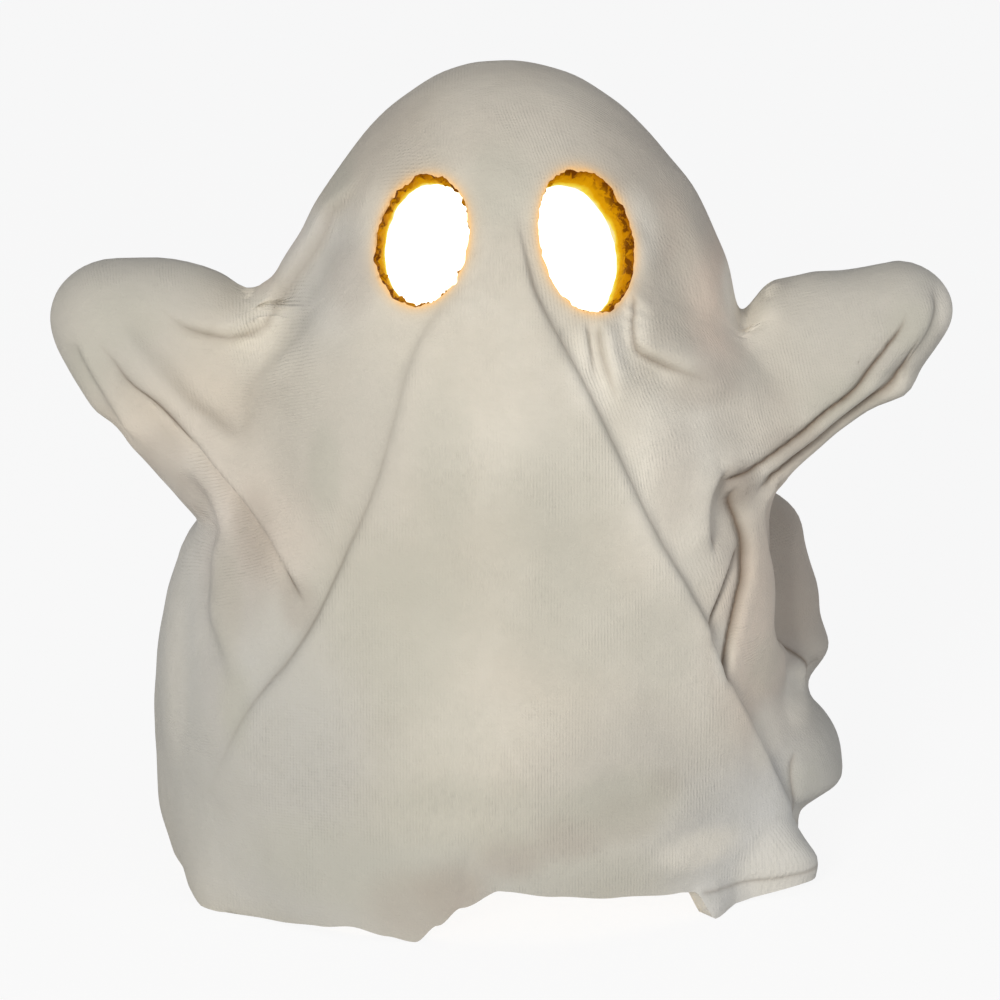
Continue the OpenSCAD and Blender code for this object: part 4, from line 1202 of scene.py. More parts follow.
class Tree:
    """The nodes of a material or of the world, made in code."""

    def __init__(self, owner: bpy.types.Material | bpy.types.World) -> None:
        """Starts without nodes.

        Args:
            owner: The material or the world that the nodes belong to.
        """
        owner.use_nodes = True
        self.node_tree = owner.node_tree
        self.node_tree.nodes.clear()

    def node(
        self, kind: str, settings: dict | None = None, values: dict | None = None
    ) -> bpy.types.Node:
        """Adds a node.

        Args:
            kind: Blender's name of the node type.
            settings: What is set on the node itself, such as its operation or a ramp's stops.
            values: Numbers, colours or links for its sockets, by name or number.

        Returns:
            The node.
        """
        made = self.node_tree.nodes.new(kind)
        for name, setting in (settings or {}).items():
            if name == "stops":
                self.set_stops(made.color_ramp, setting)
            else:
                setattr(made, name, setting)
        for key, value in (values or {}).items():
            self.feed(made.inputs[key], value)
        return made

    def set_stops(self, ramp: bpy.types.ColorRamp, stops: Stops) -> None:
        """Sets the stops of a colour ramp.

        Args:
            ramp: The ramp.
            stops: Places from 0 to 1 with their colours, in order.
        """
        while len(ramp.elements) < len(stops):
            ramp.elements.new(1.0)
        for element, (position, colour) in zip(ramp.elements, stops):
            element.position, element.color = position, colour

    def feed(self, socket: bpy.types.NodeSocket, value: object) -> None:
        """Links or sets one socket.

        Args:
            socket: The socket.
            value: A result of other nodes, or what the socket holds.
        """
        given = value.socket if isinstance(value, Value) else value
        if isinstance(given, bpy.types.NodeSocket):
            self.node_tree.links.new(given, socket)
        else:
            socket.default_value = given

    def math(self, operation: str, *numbers: Value | float) -> Value:
        """Adds one Math node.

        Args:
            operation: What it does.
            numbers: The numbers that it takes, in order.

        Returns:
            The result.
        """
        made = self.node("ShaderNodeMath", {"operation": operation}, dict(enumerate(numbers)))
        return Value(self, made.outputs[0])

    def seen_by_eye(self) -> Value:
        """Tells rays from the camera, and those seen in metal or through glass, from light.

        Returns:
            1 for the rays that the eye sees, 0 for light.
        """
        path = self.node("ShaderNodeLightPath").outputs
        seen = [Value(self, path[f"Is {kind} Ray"]) for kind in ("Camera", "Glossy", "Transmission")]
        return (seen[0] + seen[1] + seen[2]).at_most(1.0)


class Shader(Tree):
    """A material made in code round one Principled surface."""

    def __init__(self, name: str) -> None:
        """Starts an empty material.

        Args:
            name: The material's name.
        """
        self.material = bpy.data.materials.new(name)
        super().__init__(self.material)
        self.coordinates = self.node("ShaderNodeTexCoord").outputs["Object"]

    def axes(self, vector: bpy.types.NodeSocket) -> tuple[Value, Value, Value]:
        """Splits a vector into its three numbers."""
        made = self.node("ShaderNodeSeparateXYZ", values={0: vector})
        return tuple(Value(self, socket) for socket in made.outputs)

    def attribute(self, name: str) -> bpy.types.Node:
        """Reads one of the piece's own attributes."""
        return self.node("ShaderNodeAttribute", {"attribute_name": name})

    def noise(self, pitch: float, detail: float = 2.0, rough: float = 0.5, shift: float = 0.0) -> Value:
        """Gives a soft random pattern on object coordinates.

        Args:
            pitch: Rough size of its spots, in millimetres.
            detail: Number of finer patterns on top.
            rough: How strong the finer ones are.
            shift: Distortion of the pattern.

        Returns:
            Numbers round 0.5.
        """
        values = {
            "Vector": self.coordinates,
            "Scale": 1 / (pitch * MM),
            "Detail": detail,
            "Roughness": rough,
            "Distortion": shift,
        }
        return Value(self, self.node("ShaderNodeTexNoise", values=values).outputs["Fac"])

    def blend(self, share: Value | float, low: Colour, high: Colour) -> bpy.types.NodeSocket:
        """Lays one colour over another.

        Args:
            share: How much of the second colour shows.
            low: The colour below.
            high: The colour on top.

        Returns:
            The mixed colour.
        """
        mixed = self.node("ShaderNodeMix", {"data_type": "RGBA"}, {0: share, 6: low, 7: high})
        return mixed.outputs[2]

    def spot(self, region: Region, soft: float = 1.0) -> Value:
        """Masks an egg-shaped region of the piece.

        Args:
            region: Where it lies and how large it is.
            soft: How far the mask fades, as a share of the half sizes.

        Returns:
            1 in the middle, falling to 0 outside.
        """
        middle, half = region
        scale = tuple(1 / (h * MM) for h in half)
        shift = tuple(-m / h for m, h in zip(middle, half))
        placing = {0: self.coordinates, 1: scale, 2: shift}
        placed = self.node("ShaderNodeVectorMath", {"operation": "MULTIPLY_ADD"}, placing)
        away = self.node("ShaderNodeVectorMath", {"operation": "LENGTH"}, {0: placed.outputs[0]})
        return Value(self, away.outputs["Value"]).ramp(1 + soft / 2, 1 - soft / 2)

    def surface(self, values: dict, height: Value | None = None) -> bpy.types.Material:
        """Finishes the material with a Principled surface.

        Args:
            values: Numbers, colours or links for the surface's sockets.
            height: Relief of the surface, in metres.

        Returns:
            The material.
        """
        made = self.node("ShaderNodeBsdfPrincipled", values=values)
        if height is not None:
            relief = {"Strength": 1.0, "Distance": 1.0, "Height": height}
            bump = self.node("ShaderNodeBump", values=relief)
            self.feed(made.inputs["Normal"], bump.outputs["Normal"])
        self.node("ShaderNodeOutputMaterial", values={"Surface": made.outputs[0]})
        return self.material


class Clay(Enum):
    """The tints of the fired clay from place to place, and the lighter and darker tones laid on as
    painted light and painted shade.
    """

    BODY = paint(216, 210, 196)
    SHADE = paint(206, 199, 184)
    WARM = paint(224, 212, 190)
    PINK = paint(222, 202, 184)
    # Pale grey: a tone of the clay, and painted light on the left of the head, the left flank and the
    # low right corner
    PALE = paint(214, 213, 208)
    # Painted highlight, laid on ridges, cheeks, shoulders, lobes and arm tips
    LIGHT = paint(232, 226, 212)
    # Grey, which makes the lower parts darker
    GREY = paint(180, 179, 173)
    # Painted shade on the arms and beside them
    ARM = paint(190, 186, 176)
    # Olive grey: random mottling, and painted shade in the lap fold, the hollows and the creases
    LAP = paint(184, 182, 168)
    # Taupe: painted shade in the armpits, the creases and on the back lobe, and a darker dome
    TAUPE = paint(172, 162, 150)


@dataclass(frozen=True)
class TintAndShadePatch:
    """A soft patch of another tint, for the clay's own tints and for painted light and shade: its
    middle and half sizes in millimetres, and its strength.
    """

    at: tuple[float, float, float]
    half: tuple[float, float, float]
    tint: Clay
    strength: float


# The patches on the ghost, laid over one another in this order: warm and pink ones are tints of the
# clay, pale and lightest ones are painted light, olive, taupe and grey-brown ones are painted shade in
# folds, hollows and armpits, on the arms, the dome and the back lobe, and grey ones make the lower
# parts darker
TINTS_AND_PAINTED_SHADE = (
    TintAndShadePatch((-48, -30, 112), (34, 60, 30), Clay.WARM, 0.3),
    TintAndShadePatch((-66, 0, 96), (24, 60, 26), Clay.PINK, 0.3),
    TintAndShadePatch((60, 0, 62), (14, 70, 34), Clay.PINK, 0.5),
    TintAndShadePatch((46, -20, 158), (26, 60, 34), Clay.TAUPE, 0.55),
    TintAndShadePatch((-52, 6, 139), (4, 30, 7), Clay.PINK, 0.8),
    TintAndShadePatch((-46, 6, 148), (4, 30, 8), Clay.PINK, 0.8),
    TintAndShadePatch((-40, 6, 157), (4, 30, 7), Clay.PINK, 0.6),
    TintAndShadePatch((-61, -24, 66), (5, 40, 26), Clay.PINK, 0.6),
    TintAndShadePatch((-50, -30, 84), (10, 40, 12), Clay.PINK, 0.5),
    TintAndShadePatch((47, -14, 130), (7, 30, 14), Clay.PINK, 0.6),
    TintAndShadePatch((6, 0, 180), (40, 60, 20), Clay.TAUPE, 0.3),
    TintAndShadePatch((-40, -24, 140), (12, 30, 16), Clay.PALE, 0.6),
    TintAndShadePatch((-68, 0, 66), (16, 60, 36), Clay.PALE, 0.6),
    TintAndShadePatch((-36, -50, 100), (20, 40, 26), Clay.ARM, 0.3),
    TintAndShadePatch((-52, -20, 34), (30, 80, 44), Clay.GREY, 0.75),
    TintAndShadePatch((62, 30, 60), (24, 34, 40), Clay.TAUPE, 0.8),
    TintAndShadePatch((72, 0, 22), (22, 50, 22), Clay.GREY, 0.7),
    TintAndShadePatch((-86, 0, 130), (26, 60, 24), Clay.ARM, 0.8),
    TintAndShadePatch((52, -36, 12), (22, 40, 20), Clay.PALE, 0.8),
    TintAndShadePatch((44, -44, 98), (18, 40, 20), Clay.LIGHT, 0.9),
    TintAndShadePatch((30, -60, 28), (24, 40, 22), Clay.ARM, 0.6),
    TintAndShadePatch((2, -60, 12), (34, 30, 10), Clay.LAP, 0.6),
    TintAndShadePatch((-34, 0, 166), (18, 60, 16), Clay.TAUPE, 0.5),
    TintAndShadePatch((-20, -60, 8), (40, 30, 14), Clay.GREY, 0.6),
    TintAndShadePatch((86, 0, 128), (26, 60, 24), Clay.ARM, 0.8),
    TintAndShadePatch((-40, -40, 110), (24, 60, 24), Clay.ARM, 0.5),
    # Painted shade in the hollows of the front, the folds, the armpits and under the arms
    TintAndShadePatch((-21, -50, 69), (13.2, 24, 16.1), Clay.LAP, 0.36),
    TintAndShadePatch((-15, -56, 43), (12.1, 24, 16.1), Clay.LAP, 0.34),
    TintAndShadePatch((18, -50, 68), (13.2, 24, 12.7), Clay.LAP, 0.36),
    TintAndShadePatch((-12, -46, 104), (6, 24, 18), Clay.LAP, 0.35),
    TintAndShadePatch((14, -46, 96), (12, 24, 18), Clay.LAP, 0.35),
    TintAndShadePatch((34, -40, 62), (6.6, 24, 11.5), Clay.LAP, 0.3),
    TintAndShadePatch((-10, -60, 12), (7.5, 24, 6), Clay.TAUPE, 0.55),
    TintAndShadePatch((2, -60, 19), (7.5, 24, 4.6), Clay.TAUPE, 0.5),
    TintAndShadePatch((15, -58, 23), (7.5, 24, 4.6), Clay.TAUPE, 0.5),
    TintAndShadePatch((27, -55, 26), (7.5, 24, 4.6), Clay.TAUPE, 0.48),
    TintAndShadePatch((35, -52, 31), (4, 24, 4.1), Clay.TAUPE, 0.35),
    TintAndShadePatch((51, -22, 93), (4.8, 30, 5.5), Clay.TAUPE, 0.9),
    TintAndShadePatch((37, -32, 98), (5.5, 24, 13), Clay.TAUPE, 0.35),
    TintAndShadePatch((44, -28, 116), (8.4, 30, 4.6), Clay.TAUPE, 0.5),
    TintAndShadePatch((63, -18, 100), (7.5, 30, 4.1), Clay.TAUPE, 0.45),
    TintAndShadePatch((75, -8, 109), (8.8, 30, 5.5), Clay.LAP, 0.4),
    TintAndShadePatch((89, -4, 125), (5.3, 30, 5.5), Clay.LAP, 0.5),
    TintAndShadePatch((-74, -8, 96), (5.7, 30, 6.9), Clay.TAUPE, 0.5),
    TintAndShadePatch((-67, -12, 88), (4.8, 30, 6), Clay.TAUPE, 0.6),
    TintAndShadePatch((-53, -30, 84), (4.4, 30, 8.7), Clay.TAUPE, 0.5),
    TintAndShadePatch((-43, -38, 70), (4, 24, 5.5), Clay.TAUPE, 0.45),
    TintAndShadePatch((-59, -32, 69), (3.5, 24, 11.5), Clay.LAP, 0.5),
    TintAndShadePatch((-57, -36, 48), (3.5, 24, 9.2), Clay.LAP, 0.5),
    TintAndShadePatch((-37, -42, 100), (3.5, 24, 9.2), Clay.LAP, 0.5),
    TintAndShadePatch((-82, -4, 127), (8.8, 30, 6.9), Clay.LAP, 0.4),
    TintAndShadePatch((-90, -2, 116), (4.8, 30, 6.9), Clay.LAP, 0.4),
    TintAndShadePatch((-32, -36, 139), (5.7, 24, 7.8), Clay.TAUPE, 0.45),
    TintAndShadePatch((36, -14, 149), (4, 30, 8), Clay.TAUPE, 0.5),
    TintAndShadePatch((-37, -4, 157), (5.7, 30, 6.4), Clay.LAP, 0.5),
    TintAndShadePatch((0, -40, 160), (7.5, 24, 9.2), Clay.LAP, 0.45),
    TintAndShadePatch((67, 0, 23), (5.3, 30, 5.5), Clay.LAP, 0.4),
    TintAndShadePatch((58, -10, 51), (4.4, 30, 6.9), Clay.LAP, 0.4),
    # Painted highlights on ridges, cheeks, shoulders, lobes and arm tips
    TintAndShadePatch((28, -30, 148), (5.5, 30, 8), Clay.LIGHT, 0.8),
    TintAndShadePatch((-25, -38, 151), (5, 24, 7), Clay.LIGHT, 0.6),
    TintAndShadePatch((54, -8, 127), (6, 30, 6), Clay.LIGHT, 0.6),
    TintAndShadePatch((50, -2, 134), (2.6, 30, 6), Clay.LIGHT, 0.8),
    TintAndShadePatch((20, -40, 122), (5.7, 24, 8.3), Clay.LIGHT, 0.8),
    TintAndShadePatch((27, -32, 129), (4.4, 24, 7.8), Clay.LIGHT, 0.7),
    TintAndShadePatch((-52, -24, 124), (7.5, 30, 8.3), Clay.LIGHT, 0.7),
    TintAndShadePatch((-71, -6, 48), (3.5, 30, 18.4), Clay.LIGHT, 0.4),
    TintAndShadePatch((48, -24, 57), (2.6, 30, 5.5), Clay.LIGHT, 0.8),
    TintAndShadePatch((67, 4, 38), (4, 30, 4.6), Clay.LIGHT, 0.8),
    TintAndShadePatch((58, -10, 35), (4, 30, 6.4), Clay.LIGHT, 0.7),
    TintAndShadePatch((43, -42, 16), (8.8, 24, 4.1), Clay.LIGHT, 0.7),
    TintAndShadePatch((60, -20, 8), (8, 30, 8), Clay.LIGHT, 0.35),
    TintAndShadePatch((98, 0, 129), (2.6, 30, 6.9), Clay.LIGHT, 0.7),
    TintAndShadePatch((86, -4, 111), (5.7, 30, 2.8), Clay.LIGHT, 0.5),
    # More painted shade on the lower front, the lap and beside the arms
    TintAndShadePatch((0, -56, 84), (20, 24, 20), Clay.LAP, 0.3),
    TintAndShadePatch((-26, -56, 70), (16, 24, 20), Clay.LAP, 0.3),
    TintAndShadePatch((-34, -58, 16), (24, 24, 9), Clay.LAP, 0.5),
    TintAndShadePatch((26, -56, 29), (13, 24, 7), Clay.LAP, 0.6),
    TintAndShadePatch((-16, -60, 8), (12, 24, 8), Clay.TAUPE, 0.45),
    TintAndShadePatch((-8, -58, 28), (22, 24, 8), Clay.LAP, 0.5),
    TintAndShadePatch((-56, -24, 72), (7, 24, 12), Clay.TAUPE, 0.35),
    TintAndShadePatch((50, -26, 88), (8, 24, 12), Clay.TAUPE, 0.35),
    TintAndShadePatch((54, -24, 108), (10, 24, 8), Clay.TAUPE, 0.35),
)


def tints_and_painted_shade(p: np.ndarray) -> tuple[np.ndarray, np.ndarray]:
    """Lays the patches of tint and of painted light and shade over one another.

    Args:
        p: Places on the ghost, in millimetres.

    Returns:
        The colour of the tints and the painted light and shade at each place, and how far they cover
        the plain clay.
    """
    colour, bare = np.zeros((len(p), 3)), np.ones(len(p))
    for patch in TINTS_AND_PAINTED_SHADE:
        away = np.linalg.norm((p - np.array(patch.at)) / np.array(patch.half), axis=1)
        share = patch.strength * ease(1.5 - away)
        colour += (np.array(patch.tint.value[:3]) - colour) * share[:, None]
        bare *= 1 - share
    return colour / np.maximum(1 - bare, 1e-4)[:, None], 1 - bare


@dataclass(frozen=True)
class ClayFinish:
    """Fired clay slip on cloth: a matt cream skin that shows the threads in patches, with painted shade
    along its creases and a painted glow round the eye holes.
    """

    # Painted shade, dark brown, drawn along the crease lines
    crease: Colour = paint(116, 98, 80)
    # Painted glow of the lit inside round the eye holes: halo in the colour, glow in the light that the
    # clay gives off
    halo: Colour = paint(236, 188, 104)
    glow: Colour = paint(255, 164, 36)
    thread_pitch: float = 0.66
    thread_height: float = 0.05
    drape_turn: float = 14.0
    hang_bend_share: float = 0.12
    wide_bend: float = 9.0
    fine_bend: float = 0.5
    grain_height: float = 0.12
    lump_height: float = 0.36
    line_width: float = 0.95
    # How strong the painted shade is on the crease lines, beside them and in the colour
    line_shade_share: float = 0.9
    line_fall: float = 1.5
    shadow_width: float = 3.0
    shadow_share: float = 0.26
    crease_shade_share: float = 0.8
    groove_depth: float = 0.55
    speck_share: float = 0.1
    mottle_share: float = 0.1
    halo_share: float = 0.75
    halo_fall: float = 1.4
    glow_share: float = 0.27
    glow_fall: float = 2.0
    worn: Region = ((31, -50, 51), (15, 30, 16))
    worn_share: float = 0.7
    bared: Region = ((-16, -56, 37), (18, 30, 20))
    bared_share: float = 0.6

    def threads(self, shader: Shader, turn: float, bend: Value) -> tuple[Value, Value]:
        """Makes the two sets of threads on a turned weave.

        Args:
            shader: The material.
            turn: Angle of the weave, seen from the front.
            bend: How far the threads wander, in metres.

        Returns:
            The relief of the upright threads and of the level ones, from -1 to 1.
        """
        x, y, z = shader.axes(shader.coordinates)
        side_on, front_on, top_on = shader.axes(shader.attribute("cloth_run").outputs["Vector"])
        pace = 2 * math.pi / (self.thread_pitch * MM)
        c, s = math.cos(math.radians(turn)) * pace, math.sin(math.radians(turn)) * pace
        wander = bend * pace
        across = (x * c + z * s + wander).sin()
        along = (z * c - x * s + wander).sin()
        deep = (y * pace + wander).sin()
        upright = across * (front_on + top_on) + deep * side_on
        return upright, along * (front_on + side_on) + deep * top_on

    def lines(self, shader: Shader, width: float) -> Value:
        """Draws the crease lines.

        Args:
            shader: The material.
            width: From the middle of a line to where it ends, in millimetres.

        Returns:
            How strong the line is, 0 off the lines.
        """
        gaps = shader.axes(shader.attribute("crease_gaps").outputs["Vector"])
        forces = shader.axes(shader.attribute("crease_forces").outputs["Vector"])
        near = [(1 - gap.size() / width).at_least(0.0) ** self.line_fall for gap in gaps]
        return forces[0] * near[0] + forces[1] * near[1] + forces[2] * near[2]

    def relief(self, shader: Shader, panel: Value, crease: Value) -> Value:
        """Adds up the creases, the threads, the grain and the hand marks of the clay.

        Args:
            shader: The material.
            panel: Mask of the front panel, whose weave hangs straight.
            crease: How strong a crease line is.

        Returns:
            The height, in metres.
        """
        bend = shader.noise(38.0, 1.0).bumps(self.wide_bend)
        bend = bend + shader.noise(3.0, 1.0).bumps(self.fine_bend)
        hang_up, hang_level = self.threads(shader, 0.0, bend * self.hang_bend_share)
        drape_up, drape_level = self.threads(shader, self.drape_turn, bend)
        upright = hang_up * panel + drape_up * (1 - panel)
        level = hang_level * panel + drape_level * (1 - panel)
        kept = 1 - shader.spot(self.worn) * self.worn_share
        bared = shader.spot(self.bared) * self.bared_share
        show_up = (shader.noise(24.0, 3.0, 0.6).ramp(0.42, 0.66) + 0.12) * kept + bared
        show_level = shader.noise(31.0, 3.0, 0.6).ramp(0.5, 0.7) * (1.1 - panel * 0.8) + 0.1
        broken = shader.noise(1.5, 3.0, 0.6) * 2.4 - 0.5
        weave = (upright * show_up + level * show_level) * broken * (self.thread_height * MM)
        grain = shader.noise(0.5, 3.0, 0.7).bumps(self.grain_height)
        lumps = shader.noise(6.0, 4.0, 0.62).bumps(self.lump_height)
        return weave + grain + lumps - crease * (self.groove_depth * MM)

    def colour(self, shader: Shader, crease: Value, halo: Value) -> bpy.types.NodeSocket:
        """Mixes the tints of the clay with painted light and shade: the patches, the painted shade
        along the creases and the painted glow round the eye holes.

        Args:
            shader: The material.
            crease: How strong the painted shade along the crease lines is.
            halo: How close the edge of an eye hole is, for the painted glow round it.

        Returns:
            The colour.
        """
        clouds = shader.noise(42.0, 4.0, 0.6).ramp(0.35, 0.7)
        made = shader.blend(clouds, Clay.BODY.value, Clay.SHADE.value)
        # Patches of tint and of painted light and shade
        tints_and_shade, share = shader.attribute("clay_patches"), shader.attribute("patch_share")
        speck = shader.noise(1.1, 2.0, 0.6).ramp(0.58, 0.78)
        mottle = shader.noise(3.4, 3.0, 0.6).ramp(0.36, 0.66)
        layers = (
            (Value(shader, share.outputs["Fac"]), tints_and_shade.outputs["Color"]),
            (speck * self.speck_share, Clay.SHADE.value),
            (mottle * self.mottle_share, Clay.LAP.value),
            ((crease * self.crease_shade_share).at_most(1.0), self.crease),
            ((halo ** self.halo_fall) * self.halo_share, self.halo),
        )
        for cover, tint in layers:
            made = shader.blend(cover, made, tint)
        return made

    def material(self) -> bpy.types.Material:
        """Builds the clay's material.

        Returns:
            The material.
        """
        shader = Shader("clay_on_cloth")
        halo, panel, _ = shader.axes(shader.attribute("drape_marks").outputs["Vector"])
        crease = self.lines(shader, self.line_width)
        dusk = self.lines(shader, self.shadow_width)
        # Painted shade on the crease lines and, softer, beside them
        dark = crease * self.line_shade_share + dusk * self.shadow_share
        # Painted glow round the eye holes, which the clay itself gives off
        glow = shader.blend((halo ** self.glow_fall) * self.glow_share, BLACK, self.glow)
        values = {
            "Base Color": self.colour(shader, dark, halo),
            "Roughness": shader.noise(9.0, 3.0) * 0.16 + 0.7,
            "Specular IOR Level": 0.28,
            "Emission Color": glow,
            "Emission Strength": 1.0,
        }
        return shader.surface(values, self.relief(shader, panel, crease))


@dataclass(frozen=True)
class RimFinish:
    """The raw, thick edge of an eye hole, with the light shining through the clay."""

    outer: Colour = paint(142, 84, 0)
    middle: Colour = paint(196, 130, 0)
    inner: Colour = paint(226, 166, 0)
    lit: Colour = paint(255, 234, 70)
    blaze: Colour = paint(255, 250, 190)
    pit: Colour = paint(70, 32, 0)
    clay: Colour = paint(104, 64, 0)
    crumb_height: float = 0.9
    right_worn: Region = ((27, -40, 146), (7, 30, 16))
    left_worn: Region = ((-25, -40, 138), (6, 30, 11))
    left_share: float = 0.5
    brightness: float = 0.76

    def material(self) -> bpy.types.Material:
        """Builds the rim's material.

        Returns:
            The material.
        """
        shader = Shader("lit_eye_rim")
        depth = Value(shader, shader.attribute("rim_depth").outputs["Fac"])
        crumbs = shader.noise(2.4, 4.0, 0.65, 0.6)
        worn = shader.spot(self.right_worn) + shader.spot(self.left_worn) * self.left_share
        pits = (crumbs - worn * 0.06).ramp(0.5, 0.4) * (depth - worn * 0.12).ramp(0.7, 0.15)
        stops = (
            (0.05, self.outer),
            (0.34, self.middle),
            (0.74, self.inner),
            (0.9, self.lit),
            (1.0, self.blaze),
        )
        along = depth + (shader.noise(3.4, 3.0) - 0.5) * 0.5
        ramp = shader.node("ShaderNodeValToRGB", {"stops": stops}, {"Fac": along})
        glow = shader.blend(pits * 0.8, ramp.outputs["Color"], self.pit)
        values = {
            "Base Color": shader.blend(pits, self.clay, self.pit),
            "Roughness": crumbs * 0.2 + 0.7,
            "Specular IOR Level": 0.06,
            "Emission Color": glow,
            "Emission Strength": self.brightness,
        }
        return shader.surface(values, crumbs.bumps(self.crumb_height))


@dataclass(frozen=True)
class LiningFinish:
    """The bare inside of the ghost, lit by the candle light."""

    clay: Colour = paint(226, 214, 192)
    bright: Colour = paint(255, 252, 236)
    stain: Colour = paint(150, 110, 70)
    dim: Colour = paint(34, 24, 14)
    dark_z: float = 84.0
    lit_z: float = 122.0
    ragged: float = 14.0
    grain_height: float = 0.25
    brightness: float = 1.3

    def material(self) -> bpy.types.Material:
        """Builds the lining's material.

        Returns:
            The material.
        """
        shader = Shader("lit_lining")
        z = shader.axes(shader.coordinates)[2]
        stain = shader.noise(18.0, 4.0, 0.6)
        lit = (z + stain.bumps(self.ragged)).ramp(self.dark_z * MM, self.lit_z * MM)
        values = {
            "Base Color": shader.blend(stain.ramp(0.35, 0.7) * 0.5, self.clay, self.stain),
            "Roughness": stain * 0.2 + 0.7,
            "Specular IOR Level": 0.2,
            "Emission Color": shader.blend(lit, self.dim, self.bright),
            "Emission Strength": self.brightness,
        }
        return shader.surface(values, shader.noise(1.2, 4.0, 0.6).bumps(self.grain_height))


@dataclass(frozen=True)
class MouldedPlastic:
    """Ivory moulded plastic with a fine spark-eroded grain and faint flow marks."""

    name: str
    body: Colour
    flow: Colour
    grain: float = 0.02
    rough: float = 0.42

    def material(self) -> bpy.types.Material:
        """Builds the plastic's material.

        Returns:
            The material.
        """
        shader = Shader(self.name)
        flow = shader.noise(11.0, 3.0, 0.5, 1.2)
        grain = shader.noise(0.35, 2.0, 0.6)
        values = {
            "Base Color": shader.blend(flow.ramp(0.3, 0.7), self.body, self.flow),
            "Roughness": grain * 0.16 + flow * 0.1 + (self.rough - 0.13),
            "Subsurface Weight": 0.1,
            "Subsurface Radius": (1.2 * MM, 0.9 * MM, 0.6 * MM),
        }
        return shader.surface(values, grain.bumps(self.grain))


@dataclass(frozen=True)
class FlameFinish:
    """The frosted flame lens, brightest round the lamp inside it."""

    foot: Colour = paint(236, 160, 70)
    heart: Colour = paint(255, 244, 205)
    tip: Colour = paint(255, 176, 66)
    frost: Colour = paint(250, 228, 186)
    foot_z: float = 15.5
    tip_z: float = 41.6
    frost_height: float = 0.04
    brightness: float = 1.1

    def material(self) -> bpy.types.Material:
        """Builds the flame's material.

        Returns:
            The material.
        """
        shader = Shader("frosted_flame")
        z = shader.axes(shader.coordinates)[2]
        frost = shader.noise(0.5, 3.0, 0.6)
        streak = shader.noise(3.0, 2.0, 0.5, 0.8)
        share = (z - self.foot_z * MM) / ((self.tip_z - self.foot_z) * MM) + (streak - 0.5) * 0.16
        stops = ((0.0, self.foot), (0.3, self.heart), (0.55, self.heart), (1.0, self.tip))
        ramp = shader.node("ShaderNodeValToRGB", {"stops": stops}, {"Fac": share})
        values = {
            "Base Color": shader.blend(frost.ramp(0.35, 0.7) * 0.4, self.frost, self.foot),
            "Roughness": frost * 0.25 + 0.25,
            "Subsurface Weight": 0.3,
            "Subsurface Radius": (3 * MM, 2 * MM, 1 * MM),
            "Emission Color": ramp.outputs["Color"],
            "Emission Strength": self.brightness,
        }
        return shader.surface(values, frost.bumps(self.frost_height))


@dataclass(frozen=True)
class LampFinish:
    """Clear warm epoxy of the lamp, lit at its chip."""

    body: Colour = paint(252, 240, 196)
    chip: Colour = paint(255, 250, 230)
    heart: Region = ((0, 0, 17), (2.6, 2.6, 4.5))
    heart_fade: float = 1.2
    haze_height: float = 0.01
    brightness: float = 1.2

    def material(self) -> bpy.types.Material:
        """Builds the lamp's material.

        Returns:
            The material.
        """
        shader = Shader("lamp_epoxy")
        heart = shader.spot(self.heart, self.heart_fade)
        haze = shader.noise(0.8, 3.0)
        values = {
            "Base Color": shader.blend(haze.ramp(0.3, 0.7) * 0.3, self.body, self.chip),
            "Roughness": haze * 0.1 + 0.05,
            "Emission Color": shader.blend(heart, self.body, self.chip),
            "Emission Strength": self.brightness,
            "Coat Weight": 0.4,
        }
        return shader.surface(values, haze.bumps(self.haze_height))


@dataclass(frozen=True)
class BoardFinish:
    """Green solder mask over glass fibre, with copper tracks under it."""

    mask: Colour = paint(24, 92, 48)
    track: Colour = paint(52, 128, 66)
    fibre: Colour = paint(30, 74, 40)

    def material(self) -> bpy.types.Material:
        """Builds the board's material.

        Returns:
            The material.
        """
        shader = Shader("board_mask")
        x, y, _ = shader.axes(shader.coordinates)
        track_x, track_y, glass = (2 * math.pi / (pitch * MM) for pitch in (3.2, 2.3, 0.5))
        bars = ((x * track_x).sin() * 1.4 + (y * track_y).sin()).ramp(0.9, 1.2)
        weave = (x * glass).sin() * (y * glass).sin()
        made = shader.blend(weave.ramp(-0.4, 0.8) * 0.5, self.mask, self.fibre)
        values = {
            "Base Color": shader.blend(bars, made, self.track),
            "Roughness": shader.noise(1.5, 2.0) * 0.2 + 0.2,
            "Coat Weight": 0.3,
        }
        return shader.surface(values, bars * (0.03 * MM) + weave * (0.005 * MM))


@dataclass(frozen=True)
class ResinFinish:
    """A black drop of potting resin or black moulded plastic, glossy with a fine orange peel."""

    name: str
    body: Colour = paint(20, 20, 22)
    dust: Colour = paint(58, 56, 54)
    rough: float = 0.25
    peel_height: float = 0.02

    def material(self) -> bpy.types.Material:
        """Builds the resin's material.

        Returns:
            The material.
        """
        shader = Shader(self.name)
        peel = shader.noise(0.7, 2.0)
        dust = shader.noise(2.0, 4.0, 0.7).ramp(0.55, 0.8)
        values = {
            "Base Color": shader.blend(dust * 0.5, self.body, self.dust),
            "Roughness": peel * 0.2 + self.rough,
        }
        return shader.surface(values, peel.bumps(self.peel_height))


